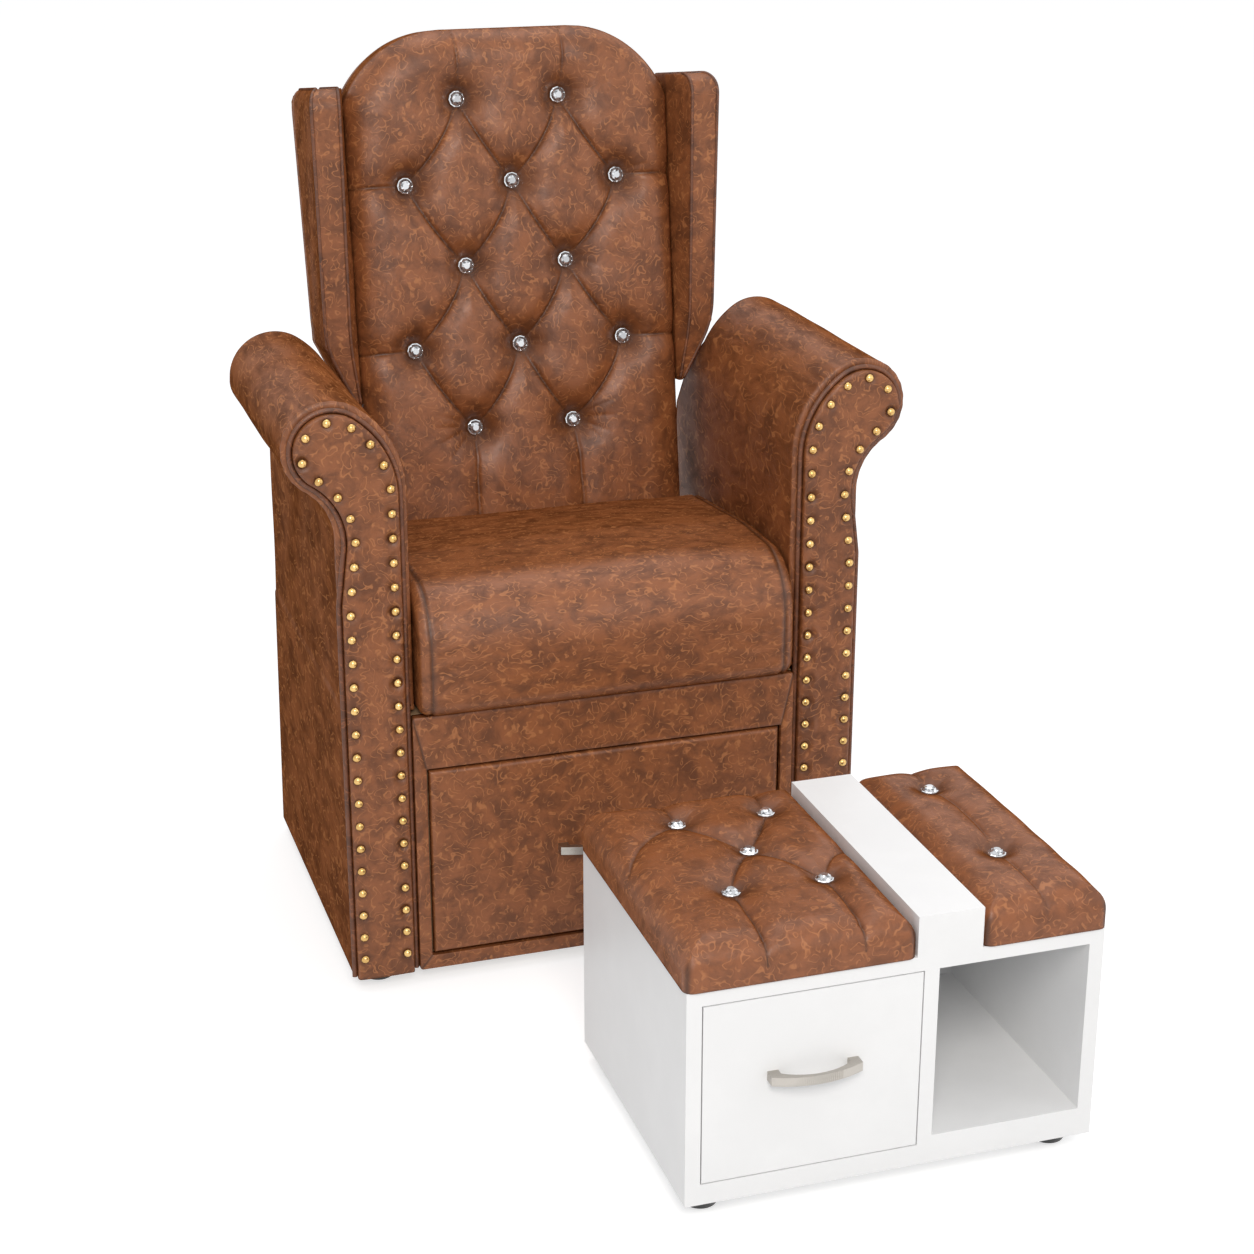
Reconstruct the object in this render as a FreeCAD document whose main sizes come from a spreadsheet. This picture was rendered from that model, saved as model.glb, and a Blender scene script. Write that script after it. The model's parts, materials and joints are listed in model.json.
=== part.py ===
import FreeCAD, Part
import Sketcher
import math
import os

from FreeCAD import Placement, Rotation, Vector

# Frame: +X is to the right of somebody who faces the chair, +Y goes back, +Z goes up.
# The origin is on the floor, under the middle of the chair and its footstool.
# Lengths are in millimetres and angles in degrees.

SIZES = [
    # Where the set stands
    ("front_face", 49.9, "Y of the arms' front faces"),
    ("chair_lift", 20, "height of the chair's underside"),
    ("fit_gap", 0.3, "gap between soft pieces, and at runners"),
    ("show_gap", 3, "gap round the chair's drawer front"),

    # Arms
    ("arm_outer", 351, "middle of the chair to an arm's outer side"),
    ("arm_inner", 257, "middle of the chair to an arm's padded inner side"),
    ("box_step", 10, "how far the seat box reaches into each arm"),
    ("roll_x", 352, "middle of the chair to a roll's centre"),
    ("roll_z", 747, "height of a roll's centre"),
    ("roll_radius", 62, "radius of a padded roll"),
    ("shoulder_radius", 140, "radius of the arm's inner shoulder"),
    ("hollow_radius", 80, "radius of the hollow under the roll"),
    ("arm_depth", 545, "length of an arm along the floor"),
    ("arm_rake", 5.5, "how far the arm's rear leans forward, in degrees"),
    ("neck_z", 640, "height where the arm's rear turns further forward"),
    ("roll_depth", 410, "length of an arm along its roll"),
    ("arm_padding", 16, "foam and leather on an arm"),
    ("panel_inset", 10, "how far the front panel's edge lies inside the roll"),
    ("panel_thick", 14, "thickness of an arm's front panel"),
    ("panel_round", 4, "rounding of the front panel's edge"),
    ("flare_z", 545, "height where the panel's waist begins"),
    ("piping_radius", 3.5, "radius of the piping round a front panel"),
    ("nail_radius", 5.5, "radius of a nail's head"),
    ("nail_height", 3.4, "height of a nail's head"),
    ("nail_shank", 1.1, "radius of a nail's shank"),
    ("nail_length", 11, "length of a nail's shank"),
    ("nail_pitch", 32.5, "distance from nail to nail"),
    ("nail_inset", 10, "piping to the line of nails"),
    ("nail_start", 30, "underside of the chair to the lowest nail"),
    ("ply", 18, "thickness of frame boards"),
    ("arm_rail", 40, "width of the rails in an arm"),

    # Seat box
    ("box_depth", 500, "arms' front faces to the seat box's rear"),
    ("rail_top", 385, "height of the seat deck"),
    ("frame_recess", 4, "arms' front faces to the face frame"),
    ("frame_padding", 12, "foam and leather on the face frame"),
    ("soft_round", 5, "rounding of padded panels' edges"),
    ("opening_half", 246, "half width of the face frame's opening"),
    ("opening_low", 40, "height of the opening's lower edge"),
    ("opening_high", 310, "height of the opening's upper edge"),
    ("base_board", 12, "thickness of the base board"),
    ("deck_border", 50, "width of the seat deck's rails"),
    ("spring_wire", 1.8, "radius of the zigzag springs' wire"),
    ("spring_half", 26, "half width of a zigzag spring"),
    ("spring_step", 20, "length of half a zigzag"),
    ("spring_count", 5, "number of zigzag springs"),

    # Seat cushion
    ("seat_side", 2.5, "gap between the seat cushion and an arm"),
    ("seat_overhang", 20, "how far the seat cushion stands out in front"),
    ("seat_front_z", 556, "height of the seat cushion's front"),
    ("seat_rear_z", 536, "height of the seat cushion's rear"),
    ("seat_crown", 6, "crown of the seat cushion"),
    ("seat_drawn", 14, "how far the seat cushion's sides are drawn in"),
    ("seat_nose", 78, "radius of the seat cushion's front edge"),
    ("seat_chin", 26, "radius of the seat cushion's lower front edge"),

    # Feet
    ("foot_radius", 22.5, "radius of the chair's feet"),
    ("foot_side", 312, "middle of the chair to a foot's centre"),
    ("foot_front", 44, "arms' front faces to the front feet"),
    ("foot_behind", 135, "rear feet to the arms' rear, along the floor"),
    ("foot_round", 11, "rounding of a foot's lower edge"),
    ("foot_screw", 2.4, "radius of a foot screw"),
    ("foot_screw_head", 5, "radius of a foot screw's head"),
    ("foot_screw_bite", 14, "depth of a foot screw in its board"),

    # Backrest, measured in its own plane: up along the slope, and in depth
    ("back_lean", 7.84, "lean of the backrest, in degrees"),
    ("back_offset", 309, "arms' front faces to the button plane at floor level"),
    ("back_room", 26, "an arm's inner side to the back cushion"),
    ("back_low", 444, "lower end of the back cushion"),
    ("back_high", 1204, "upper end of the back cushion"),
    ("arch_straight", 90, "half width of the straight part of the arch"),
    ("arch_radius", 149, "radius of the arch's shoulders"),
    ("back_corner", 20, "radius of the back cushion's lower corners"),
    ("back_crown", 20, "button plane to the crown of the back cushion"),
    ("back_foam", 60, "button plane to the rear of the back cushion"),
    ("back_ply", 22, "thickness of the back frame"),
    ("back_cover", 6, "thickness of the back's rear cover"),
    ("frame_low", 424, "lower end of the back frame"),
    ("frame_in", 3, "how far the back frame's sides lie inside the cushion's"),
    ("frame_rail", 60, "width of the back frame's rails"),
    ("button_top", 1110.6, "place of the upper row of buttons"),
    ("button_row", 113.5, "distance between rows of buttons"),
    ("button_near", 72.2, "half distance of the paired buttons"),
    ("button_far", 151.7, "middle of the chair to the outer buttons"),
    ("button_radius", 11, "radius of a crystal button"),
    ("button_height", 6.5, "height of a crystal button"),
    ("dimple_radius", 34, "radius of the dimple round a button"),
    ("seam_depth", 11, "depth of a seam"),
    ("seam_half", 9, "half width of a seam at the surface"),

    # Wings
    ("wing_high", 1132, "upper end of a wing"),
    ("wing_low", 700, "lower tip of a wing"),
    ("wing_waist", 785, "where a wing passes the top of the arm"),
    ("wing_front_high", 66, "how far a wing stands forward at the top"),
    ("wing_front_waist", 25, "how far it stands forward at its waist"),
    ("wing_front_low", 8, "how far it stands forward at its tip"),
    ("wing_outer_high", 287, "middle of the chair to a wing's outer side, at the top"),
    ("wing_outer_waist", 281, "the same at its waist"),
    ("wing_outer_low", 239, "the same at its tip"),
    ("wing_band", 39, "width of a wing's front band"),
    ("wing_round", 26, "rounding of a wing's upper front corner"),
    ("wing_shoulder", 14, "how far that rounding also draws the outer side in"),
    ("wing_board", 15, "thickness of the board in a wing"),
    ("wing_padding", 12, "foam and leather on a wing"),
    ("wing_piping", 2.2, "radius of the piping on a wing"),

    # Recline hinges
    ("pivot_up", 446, "place of the pivot, up along the slope"),
    ("pivot_deep", 71, "button plane to the pivot"),
    ("plate_thick", 4, "thickness of the hinge plates"),
    ("plate_gap", 2, "gap between a pair of hinge plates"),
    ("plate_half", 25, "half width of a base plate"),
    ("plate_over", 18, "how far a base plate rises over the pivot"),
    ("plate_foot", 24, "width of a base plate's foot"),
    ("back_plate_long", 130, "length of a back plate"),
    ("pin_radius", 5, "radius of a pivot pin"),
    ("pin_head", 8, "radius of a pivot pin's head"),
    ("pin_reach", 16, "how far a pivot pin reaches into the back frame"),
    ("pin_play", 0.05, "running clearance of a pivot pin"),

    # Drawers
    ("front_board", 16, "thickness of the chair's drawer front"),
    ("front_padding", 14, "foam and leather on the chair's drawer front"),
    ("front_recess", 2, "arms' front faces to the drawer front's face"),
    ("drawer_wall", 12, "thickness of drawer sides"),
    ("drawer_floor", 6, "thickness of drawer bottoms"),
    ("drawer_floor_up", 6, "lower edge of a drawer's sides to its bottom"),
    ("drawer_long", 320, "length of the drawer boxes"),
    ("drawer_low", 62, "height of the chair drawer's sides, lower edge"),
    ("drawer_high", 232, "height of the chair drawer's sides, upper edge"),
    ("slide_long", 300, "length of the drawer slides"),
    ("slide_travel", 225, "travel of the drawer slides"),
    ("slide_room", 12.7, "room for a slide beside a drawer"),
    ("slide_outer_half", 17.5, "half height of a slide's outer member"),
    ("slide_outer_deep", 10, "depth of a slide's outer member"),
    ("slide_inner_half", 11, "half height of a slide's inner member"),
    ("slide_inner_deep", 8.2, "depth of a slide's inner member"),
    ("slide_steel", 1.5, "thickness of a slide's steel"),
    ("ball_radius", 2.2, "radius of a slide's balls"),
    ("ball_step", 16, "distance from ball to ball"),
    ("ball_count", 4, "balls in a row"),
    ("cage_steel", 0.8, "thickness of a ball cage"),
    ("handle_z", 175, "height of the chair's handle"),
    ("handle_centres", 128, "screw distance of the chair's handle"),
    ("stool_handle_centres", 96, "screw distance of the footstool's handle"),
    ("handle_high", 11, "height of a handle's band"),
    ("handle_thick", 5, "thickness of a handle's band"),
    ("handle_foot", 13, "width of a handle's foot"),
    ("handle_out", 26, "how far a handle stands out"),
    ("handle_end_out", 14, "how far its ends stand out"),
    ("handle_rib", 2.4, "distance from rib to rib on a handle"),
    ("handle_ribs", 23, "grooves on a handle"),
    ("screw_radius", 2, "radius of a handle screw"),
    ("screw_head", 4, "radius of a handle screw's head"),
    ("screw_head_high", 2.5, "height of a handle screw's head"),
    ("screw_bite", 8, "depth of a handle screw in the handle"),

    # Footstool
    ("stool_left", -111, "X of the footstool's left side"),
    ("stool_front", 633, "arms' front faces to the footstool's front"),
    ("stool_wide", 505, "width of the footstool"),
    ("stool_deep", 384, "depth of the footstool"),
    ("stool_lift", 25, "height of the footstool's underside"),
    ("stool_top", 295, "height of the footstool's top board"),
    ("stool_board", 18, "thickness of the footstool's boards"),
    ("stool_bottom", 36, "thickness of the footstool's bottom"),
    ("stool_rebate", 10, "depth of the rebate under the drawer front"),
    ("stool_bay", 282, "footstool's left side to the divider"),
    ("stool_back_in", 20, "footstool's rear edge to its back board"),
    ("stool_reveal", 1.5, "gap round the footstool's drawer front"),
    ("stool_drawer_low", 72, "height of the footstool drawer's sides, lower edge"),
    ("stool_drawer_high", 232, "height of the footstool drawer's sides, upper edge"),
    ("stool_handle_z", 177, "height of the footstool's handle"),
    ("middle_left", 272, "footstool's left side to the raised board"),
    ("middle_wide", 80, "width of the raised board"),
    ("middle_high", 50, "height of the raised board"),
    ("pad_over", 3, "how far the pads reach past the boards"),
    ("pad_high", 47, "height of a pad's edge"),
    ("pad_crown", 9, "crown of a pad"),
    ("pad_corner", 16, "radius of a pad's corners"),
    ("pad_draw", 34, "how far a pad's sides are drawn in at the crown"),
    ("pad_sink", 12, "how far the pads' buttons sit below the crown"),
    ("pad_button_left", 98, "footstool's left side to the wide pad's left buttons"),
    ("pad_button_right", 212, "footstool's left side to the wide pad's right buttons"),
    ("pad_button_front", 130, "footstool's front to the front buttons"),
    ("pad_button_rear", 318, "footstool's front to the rear buttons"),
    ("stool_foot_radius", 23, "radius of the footstool's feet"),
    ("stool_foot_side", 33, "footstool's sides to its feet"),
    ("stool_foot_end", 42, "footstool's front and rear to its feet"),
]

doc = FreeCAD.newDocument("PedicureChair")
sheet = doc.addObject("Spreadsheet::Sheet", "Sizes")
for row, (alias, number, meaning) in enumerate(SIZES, start=1):
    sheet.set(f"A{row}", meaning)
    sheet.set(f"B{row}", str(number))
    sheet.setAlias(f"B{row}", alias)
doc.recompute()


class Size:
    """A length with the expression over the sheet's cells that gives it."""

    def __init__(self, number, words):
        self.number = float(number)
        self.words = words

    def __float__(self):
        return self.number

    def __add__(self, other):
        other = as_size(other)
        return Size(self.number + other.number, f"({self.words} + {other.words})")

    def __sub__(self, other):
        other = as_size(other)
        return Size(self.number - other.number, f"({self.words} - {other.words})")

    def __mul__(self, other):
        other = as_size(other)
        return Size(self.number * other.number, f"({self.words} * {other.words})")

    def __truediv__(self, other):
        other = as_size(other)
        return Size(self.number / other.number, f"({self.words} / {other.words})")

    def __neg__(self):
        return Size(-self.number, f"(0 - {self.words})")

    def __radd__(self, other):
        return as_size(other) + self

    def __rsub__(self, other):
        return as_size(other) - self

    def __rmul__(self, other):
        return as_size(other) * self


def as_size(thing):
    """Give a plain number the form of a Size."""
    return thing if isinstance(thing, Size) else Size(thing, repr(float(thing)))


def sine(angle):
    return Size(math.sin(math.radians(angle.number)), f"sin({angle.words} * 1deg)")


def cosine(angle):
    return Size(math.cos(math.radians(angle.number)), f"cos({angle.words} * 1deg)")


class Sheet:
    """Every cell of the sheet as a Size, under its alias."""

    def __init__(self):
        for alias, _number, _meaning in SIZES:
            setattr(self, alias, Size(float(sheet.get(alias)), f"Sizes.{alias}"))


cell = Sheet()
nodes = []

# Places that several pieces share

FRONT = cell.front_face
BOX_HALF = cell.arm_inner + cell.box_step
FOOT_REAR = cell.arm_depth - cell.foot_behind
BACK_HALF = cell.arm_inner - cell.back_room
FRAME_HALF = BACK_HALF - cell.frame_in
PANEL_BACK = FRONT + cell.panel_thick
FRAME_FRONT = FRONT + cell.frame_recess + cell.frame_padding
BOX_FRONT = FRAME_FRONT + cell.ply
BOX_REAR = FRONT + cell.box_depth
BOX_INSIDE = BOX_HALF - cell.ply
ARM_HIGH = cell.roll_z + cell.roll_radius
STOOL_FRONT = FRONT - cell.stool_front
STOOL_REAR = STOOL_FRONT + cell.stool_deep
STOOL_RIGHT = cell.stool_left + cell.stool_wide


# Making and naming

def node(thing, name):
    """Keep a finished sub-part under its own name."""
    thing.Label = name
    nodes.append(thing)
    return thing


def bind(thing, name, length):
    thing.setExpression(name, as_size(length).words)


def block(name, x, y, z):
    """A board between the low and high places given along X, Y and Z."""
    board = doc.addObject("Part::Box", name)
    for size_name, axis, (low, high) in (("Length", "x", x), ("Width", "y", y), ("Height", "z", z)):
        bind(board, size_name, as_size(high) - low)
        bind(board, f"Placement.Base.{axis}", low)
    return board


def cylinder(name, radius, height, centre, direction=Vector(0, 0, 1)):
    """A round bar that starts at centre and runs along direction."""
    bar = doc.addObject("Part::Cylinder", name)
    bar.Placement.Rotation = Rotation(Vector(0, 0, 1), direction)
    bind(bar, "Radius", radius)
    bind(bar, "Height", height)
    for axis, place in zip("xyz", centre):
        bind(bar, f"Placement.Base.{axis}", place)
    return bar


def fuse(name, *pieces):
    joined = doc.addObject("Part::MultiFuse", name)
    joined.Shapes = list(pieces)
    joined.Refine = True
    return joined


def cut(name, base, *tools):
    """Base without the tools."""
    tool = tools[0] if len(tools) == 1 else fuse(f"{name}_cutters", *tools)
    rest = doc.addObject("Part::Cut", name)
    rest.Base = base
    rest.Tool = tool
    return rest


def group(name, *pieces):
    """Separate solids that share one name."""
    gathered = doc.addObject("Part::Compound", name)
    gathered.Links = list(pieces)
    return gathered


def mirror(name, source, middle=0):
    """The same piece on the other side of the plane X = middle."""
    other = doc.addObject("Part::Mirroring", name)
    other.Source = source
    other.Normal = Vector(1, 0, 0)
    bind(other, "Base.x", middle)
    return other


def shaped(name, shape, placement=None):
    """A sub-part whose surface no simple feature makes."""
    piece = doc.addObject("Part::Feature", name)
    piece.Shape = shape
    if placement is not None:
        piece.Placement = placement
    return piece


def copies(name, shape, places):
    """The same solid set at every place."""
    return shaped(name, Part.makeCompound([shape.transformed(place.toMatrix()) for place in places]))


def at(x, y, z):
    return Placement(Vector(float(x), float(y), float(z)), Rotation())


def sketch_on(body, role, name, out=0):
    """A sketch on one of the body's own planes, moved out along that plane's normal."""
    drawing = body.newObject("Sketcher::SketchObject", name)
    plane = [feature for feature in body.Origin.OriginFeatures if feature.Role == role][0]
    drawing.AttachmentSupport = (plane, "")
    drawing.MapMode = "FlatFace"
    bind(drawing, "AttachmentOffset.Base.z", out)
    return drawing


def place_point(drawing, geometry, point, x, y):
    """Fix one point of a sketch's geometry at two sizes."""
    for kind, size in (("DistanceX", x), ("DistanceY", y)):
        size = as_size(size)
        index = drawing.addConstraint(Sketcher.Constraint(kind, -1, 1, geometry, point, size.number))
        drawing.setExpression(f"Constraints[{index}]", size.words)


def draw_polygon(drawing, corners):
    """A closed outline of straight lines whose corners are all sized."""
    first = drawing.GeometryCount
    spots = [Vector(float(x), float(y), 0) for x, y in corners]
    for start, end in zip(spots, spots[1:] + spots[:1]):
        drawing.addGeometry(Part.LineSegment(start, end))
    for number, (x, y) in enumerate(corners):
        before = first + (number - 1) % len(corners)
        drawing.addConstraint(Sketcher.Constraint("Coincident", before, 2, first + number, 1))
        place_point(drawing, first + number, 1, x, y)


def pad(body, drawing, name, length, reverse=False, middle=False):
    feature = body.newObject("PartDesign::Pad", name)
    feature.Profile = drawing
    feature.Reversed = reverse
    feature.Midplane = middle
    bind(feature, "Length", length)
    return feature


def pocket(body, drawing, name, length=None, reverse=False):
    """Cut a sketch away to a length, or both ways through everything."""
    feature = body.newObject("PartDesign::Pocket", name)
    feature.Profile = drawing
    feature.Reversed = reverse
    if length is None:
        feature.Type = "ThroughAll"
        feature.Midplane = True
    else:
        bind(feature, "Length", length)
    return feature


def round_edges(name, source, radius, wanted):
    """Round the edges of a piece whose middle passes the test called wanted."""
    doc.recompute()
    picked = [
        (number, float(radius), float(radius))
        for number, edge in enumerate(source.Shape.Edges, start=1)
        if wanted(edge.BoundBox.Center, edge)
    ]
    rounded = doc.addObject("Part::Fillet", name)
    rounded.Base = source
    rounded.Edges = picked
    return rounded


# The scroll of an arm, seen from the front: a side, a hollow, the roll and the inner shoulder.

def scroll(inset, flared):
    """Edges of the scroll drawn in by inset, from the outer foot round to the inner foot.

    The three arcs keep their centres at every inset, so they stay tangent. A flared scroll is a
    front panel's: its outer side comes out again under the waist, to the arm's full width.
    """
    inset = float(inset)
    foot = float(cell.chair_lift)
    roll = Vector(float(cell.roll_x), float(cell.roll_z), 0)
    roll_radius = float(cell.roll_radius) - inset
    hollow_radius = float(cell.hollow_radius) + inset
    shoulder_radius = float(cell.shoulder_radius) - inset
    hollow_x = float(cell.arm_outer + cell.hollow_radius)
    shoulder_x = float(cell.arm_inner + cell.shoulder_radius)
    across = hollow_x - roll.x
    hollow = Vector(hollow_x, roll.y - math.sqrt((roll_radius + hollow_radius) ** 2 - across ** 2), 0)
    across = shoulder_x - roll.x
    shoulder = Vector(shoulder_x, roll.y - math.sqrt((shoulder_radius - roll_radius) ** 2 - across ** 2), 0)

    outer_meet = roll + (hollow - roll).normalize() * roll_radius
    inner_meet = shoulder + (roll - shoulder).normalize() * shoulder_radius
    inner_x = shoulder.x - shoulder_radius
    if flared:
        outer_x = float(cell.arm_outer + cell.panel_inset) - inset
        flare = Vector(outer_x, float(cell.flare_z), 0)
        reach = flare - hollow
        half = math.acos(hollow_radius / reach.Length)
        waist = hollow + turned(reach.normalize(), -half) * hollow_radius
    else:
        outer_x = hollow.x - hollow_radius
        flare = None
        waist = Vector(outer_x, hollow.y, 0)
    spots = {
        "outer_foot": Vector(outer_x, foot, 0),
        "inner_foot": Vector(inner_x, foot, 0),
        "flare": flare,
        "waist": waist,
        "outer_meet": outer_meet,
        "inner_meet": inner_meet,
        "shoulder_start": Vector(inner_x, shoulder.y, 0),
    }
    arcs = {
        "hollow": arc_between(hollow, hollow_radius, outer_meet, waist),
        "roll": arc_between(roll, roll_radius, outer_meet, inner_meet),
        "shoulder": arc_between(shoulder, shoulder_radius, inner_meet, spots["shoulder_start"]),
    }
    return spots, arcs


def turned(way, angle):
    """A flat direction turned to the left by an angle."""
    return Vector(way.x * math.cos(angle) - way.y * math.sin(angle),
                  way.x * math.sin(angle) + way.y * math.cos(angle), 0)


def arc_between(centre, radius, start, end):
    """The arc that turns left from start to end."""
    circle = Part.Circle(centre, Vector(0, 0, 1), radius)
    first = math.atan2(start.y - centre.y, start.x - centre.x)
    last = math.atan2(end.y - centre.y, end.x - centre.x)
    if last < first:
        last += 2 * math.pi
    return Part.ArcOfCircle(circle, first, last)


def scroll_body(name, inset, flared, front, length, step=None):
    """A board or pad with the scroll's outline, from its front back to its rear.

    With a step, the inner side is set outwards below that height, to stand beside the seat box.
    """
    body = doc.addObject("PartDesign::Body", name)
    drawing = sketch_on(body, "XZ_Plane", f"{name}_outline", -as_size(front))
    inset = as_size(inset)
    spots, arcs = scroll(inset, flared)
    foot = Vector(0, float(cell.chair_lift), 0)
    inner_x = cell.arm_inner + inset
    lower_x = inner_x if step is None else BOX_HALF
    inner_foot = Vector(float(lower_x), foot.y, 0)

    chain = [spots["outer_foot"]]
    if flared:
        chain.append(spots["flare"])
    chain.append(spots["waist"])
    sides = [drawing.addGeometry(Part.LineSegment(a, b)) for a, b in zip(chain, chain[1:])]
    hollow = drawing.addGeometry(arcs["hollow"])
    roll = drawing.addGeometry(arcs["roll"])
    shoulder = drawing.addGeometry(arcs["shoulder"])
    drop = [spots["shoulder_start"]]
    if step is not None:
        drop += [Vector(float(inner_x), float(step), 0), Vector(float(lower_x), float(step), 0)]
    drop.append(inner_foot)
    inner = [drawing.addGeometry(Part.LineSegment(a, b)) for a, b in zip(drop, drop[1:])]
    sole = drawing.addGeometry(Part.LineSegment(inner_foot, spots["outer_foot"]))

    rule = Sketcher.Constraint
    outer_x = cell.arm_outer + cell.panel_inset - inset if flared else cell.arm_outer - inset
    for before, after in zip(sides, sides[1:]):
        drawing.addConstraint(rule("Coincident", before, 2, after, 1))
    drawing.addConstraint(rule("Tangent", sides[-1], 2, hollow, 2))
    drawing.addConstraint(rule("Tangent", hollow, 1, roll, 1))
    drawing.addConstraint(rule("Tangent", roll, 2, shoulder, 1))
    drawing.addConstraint(rule("Tangent", shoulder, 2, inner[0], 1))
    for before, after in zip(inner, inner[1:]):
        drawing.addConstraint(rule("Coincident", before, 2, after, 1))
    drawing.addConstraint(rule("Coincident", inner[-1], 2, sole, 1))
    drawing.addConstraint(rule("Coincident", sole, 2, sides[0], 1))
    for geometry, radius in ((hollow, cell.hollow_radius + inset), (roll, cell.roll_radius - inset),
                             (shoulder, cell.shoulder_radius - inset)):
        index = drawing.addConstraint(rule("Radius", geometry, radius.number))
        drawing.setExpression(f"Constraints[{index}]", radius.words)
    place_point(drawing, roll, 3, cell.roll_x, cell.roll_z)
    place_point(drawing, sole, 2, outer_x, cell.chair_lift)
    place_point(drawing, sole, 1, lower_x, cell.chair_lift)
    if flared:
        place_point(drawing, sides[0], 2, outer_x, cell.flare_z)
        centre_x = cell.arm_outer + cell.hollow_radius
        index = drawing.addConstraint(rule("DistanceX", -1, 1, hollow, 3, centre_x.number))
        drawing.setExpression(f"Constraints[{index}]", centre_x.words)
    else:
        drawing.addConstraint(rule("Vertical", sides[0]))
    drawing.addConstraint(rule("Vertical", inner[0]))
    if step is not None:
        place_point(drawing, inner[1], 1, inner_x, step)
        place_point(drawing, inner[1], 2, lower_x, step)
    pad(body, drawing, f"{name}_length", length, reverse=True)
    return body


# Arms

def make_arm():
    """The right arm: a board frame in a padded cover, a front panel, piping and nails."""
    cover = scroll_body("arm_cover", 0, False, PANEL_BACK, cell.arm_depth - cell.panel_thick,
                        step=cell.rail_top + cell.soft_round)
    slope = sine(cell.arm_rake) / cosine(cell.arm_rake)
    rear = FRONT + cell.arm_depth
    over = ARM_HIGH + cell.arm_padding
    wedge = sketch_on(cover, "YZ_Plane", "arm_rear_slope")
    draw_polygon(wedge, [
        (rear, cell.chair_lift),
        (rear + cell.arm_padding, cell.chair_lift),
        (rear + cell.arm_padding, over),
        (FRONT + cell.roll_depth, over),
        (FRONT + cell.roll_depth, cell.roll_z),
        (rear - (cell.neck_z - cell.chair_lift) * slope, cell.neck_z),
    ])
    pocket(cover, wedge, "arm_rear_cut")

    inner = cell.arm_inner + cell.arm_padding
    outer = cell.arm_outer - cell.arm_padding
    frame_long = cell.roll_depth - cell.panel_thick - cell.arm_padding
    between = (PANEL_BACK + cell.ply, PANEL_BACK + frame_long - cell.ply)
    front_board = scroll_body("arm_front_board", cell.arm_padding, False, PANEL_BACK, cell.ply)
    rear_start = PANEL_BACK + frame_long - cell.ply
    rear_board = scroll_body("arm_rear_board", cell.arm_padding, False, rear_start, cell.ply)
    bottom = block("arm_bottom", (inner, outer), (PANEL_BACK + cell.ply, FRONT + FOOT_REAR + cell.foot_radius),
                   (cell.chair_lift, cell.chair_lift + cell.ply))
    seat_rail = block("arm_seat_rail", (inner, inner + cell.ply), between,
                      (cell.rail_top - cell.arm_rail, cell.rail_top))
    half = cell.arm_rail / 2
    roll_rail = block("arm_roll_rail", (cell.roll_x - half, cell.roll_x + half), between,
                      (cell.roll_z - cell.ply, cell.roll_z))
    bores = [cylinder(f"arm_foot_bore_{number}", cell.foot_screw, cell.foot_screw_bite,
                      (cell.foot_side, FRONT + place, cell.chair_lift))
             for number, place in enumerate((cell.foot_front, FOOT_REAR), start=1)]
    frame = fuse("arm_boards", front_board, rear_board, bottom, seat_rail, roll_rail)
    node(cut("arm_frame_right", frame, *bores), "arm_frame_right")
    hollow = scroll_body("arm_cavity", cell.arm_padding, False, PANEL_BACK, frame_long)
    node(cut("arm_pad_right", cover, hollow, bottom), "arm_pad_right")

    edge_inset = cell.panel_inset + cell.piping_radius
    panel_board = scroll_body("arm_panel_board", edge_inset, True, FRONT, cell.panel_thick)
    front, foot = float(FRONT), float(cell.chair_lift)
    panel = round_edges("arm_panel_rounded", panel_board, cell.panel_round,
                        lambda middle, edge: edge.BoundBox.YMax < front + 0.1 and edge.BoundBox.ZMin > foot)
    nails = shaped("arm_nails_one_side", make_nails())
    node(cut("arm_panel_right", panel, nails), "arm_panel_right")
    node(shaped("arm_piping_right", make_arm_piping()), "arm_piping_right")
    for name in ("arm_pad", "arm_frame", "arm_panel", "arm_piping"):
        node(mirror(f"{name}_left", doc.getObject(f"{name}_right")), f"{name}_left")
    node(group("arm_nails", nails, mirror("arm_nails_other_side", nails)), "arm_nails")


def scroll_wire(inset, low, depth):
    """The panel's outline as one path at a depth, open at the bottom, from low upwards."""
    spots, arcs = scroll(inset, True)
    outer = Vector(spots["outer_foot"].x, low, 0)
    inner = Vector(spots["inner_foot"].x, low, 0)
    edges = [
        Part.LineSegment(outer, spots["flare"]).toShape(),
        Part.LineSegment(spots["flare"], spots["waist"]).toShape(),
        arcs["hollow"].toShape(),
        arcs["roll"].toShape(),
        arcs["shoulder"].toShape(),
        Part.LineSegment(spots["shoulder_start"], inner).toShape(),
    ]
    upright = Placement(Vector(0, depth, 0), Rotation(Vector(1, 0, 0), 90))
    wire = Part.Wire(Part.__sortEdges__(edges))
    return wire.transformed(upright.toMatrix())


def make_arm_piping():
    """A round cord along the panel's edge, in front of the padded arm."""
    depth = float(PANEL_BACK - cell.piping_radius)
    path = scroll_wire(cell.panel_inset, float(cell.chair_lift), depth)
    start = path.Vertexes[0].Point
    ring = Part.Wire(Part.Circle(start, Vector(0, 0, 1), float(cell.piping_radius)).toShape())
    return path.makePipeShell([ring], True, False, 1)


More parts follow.
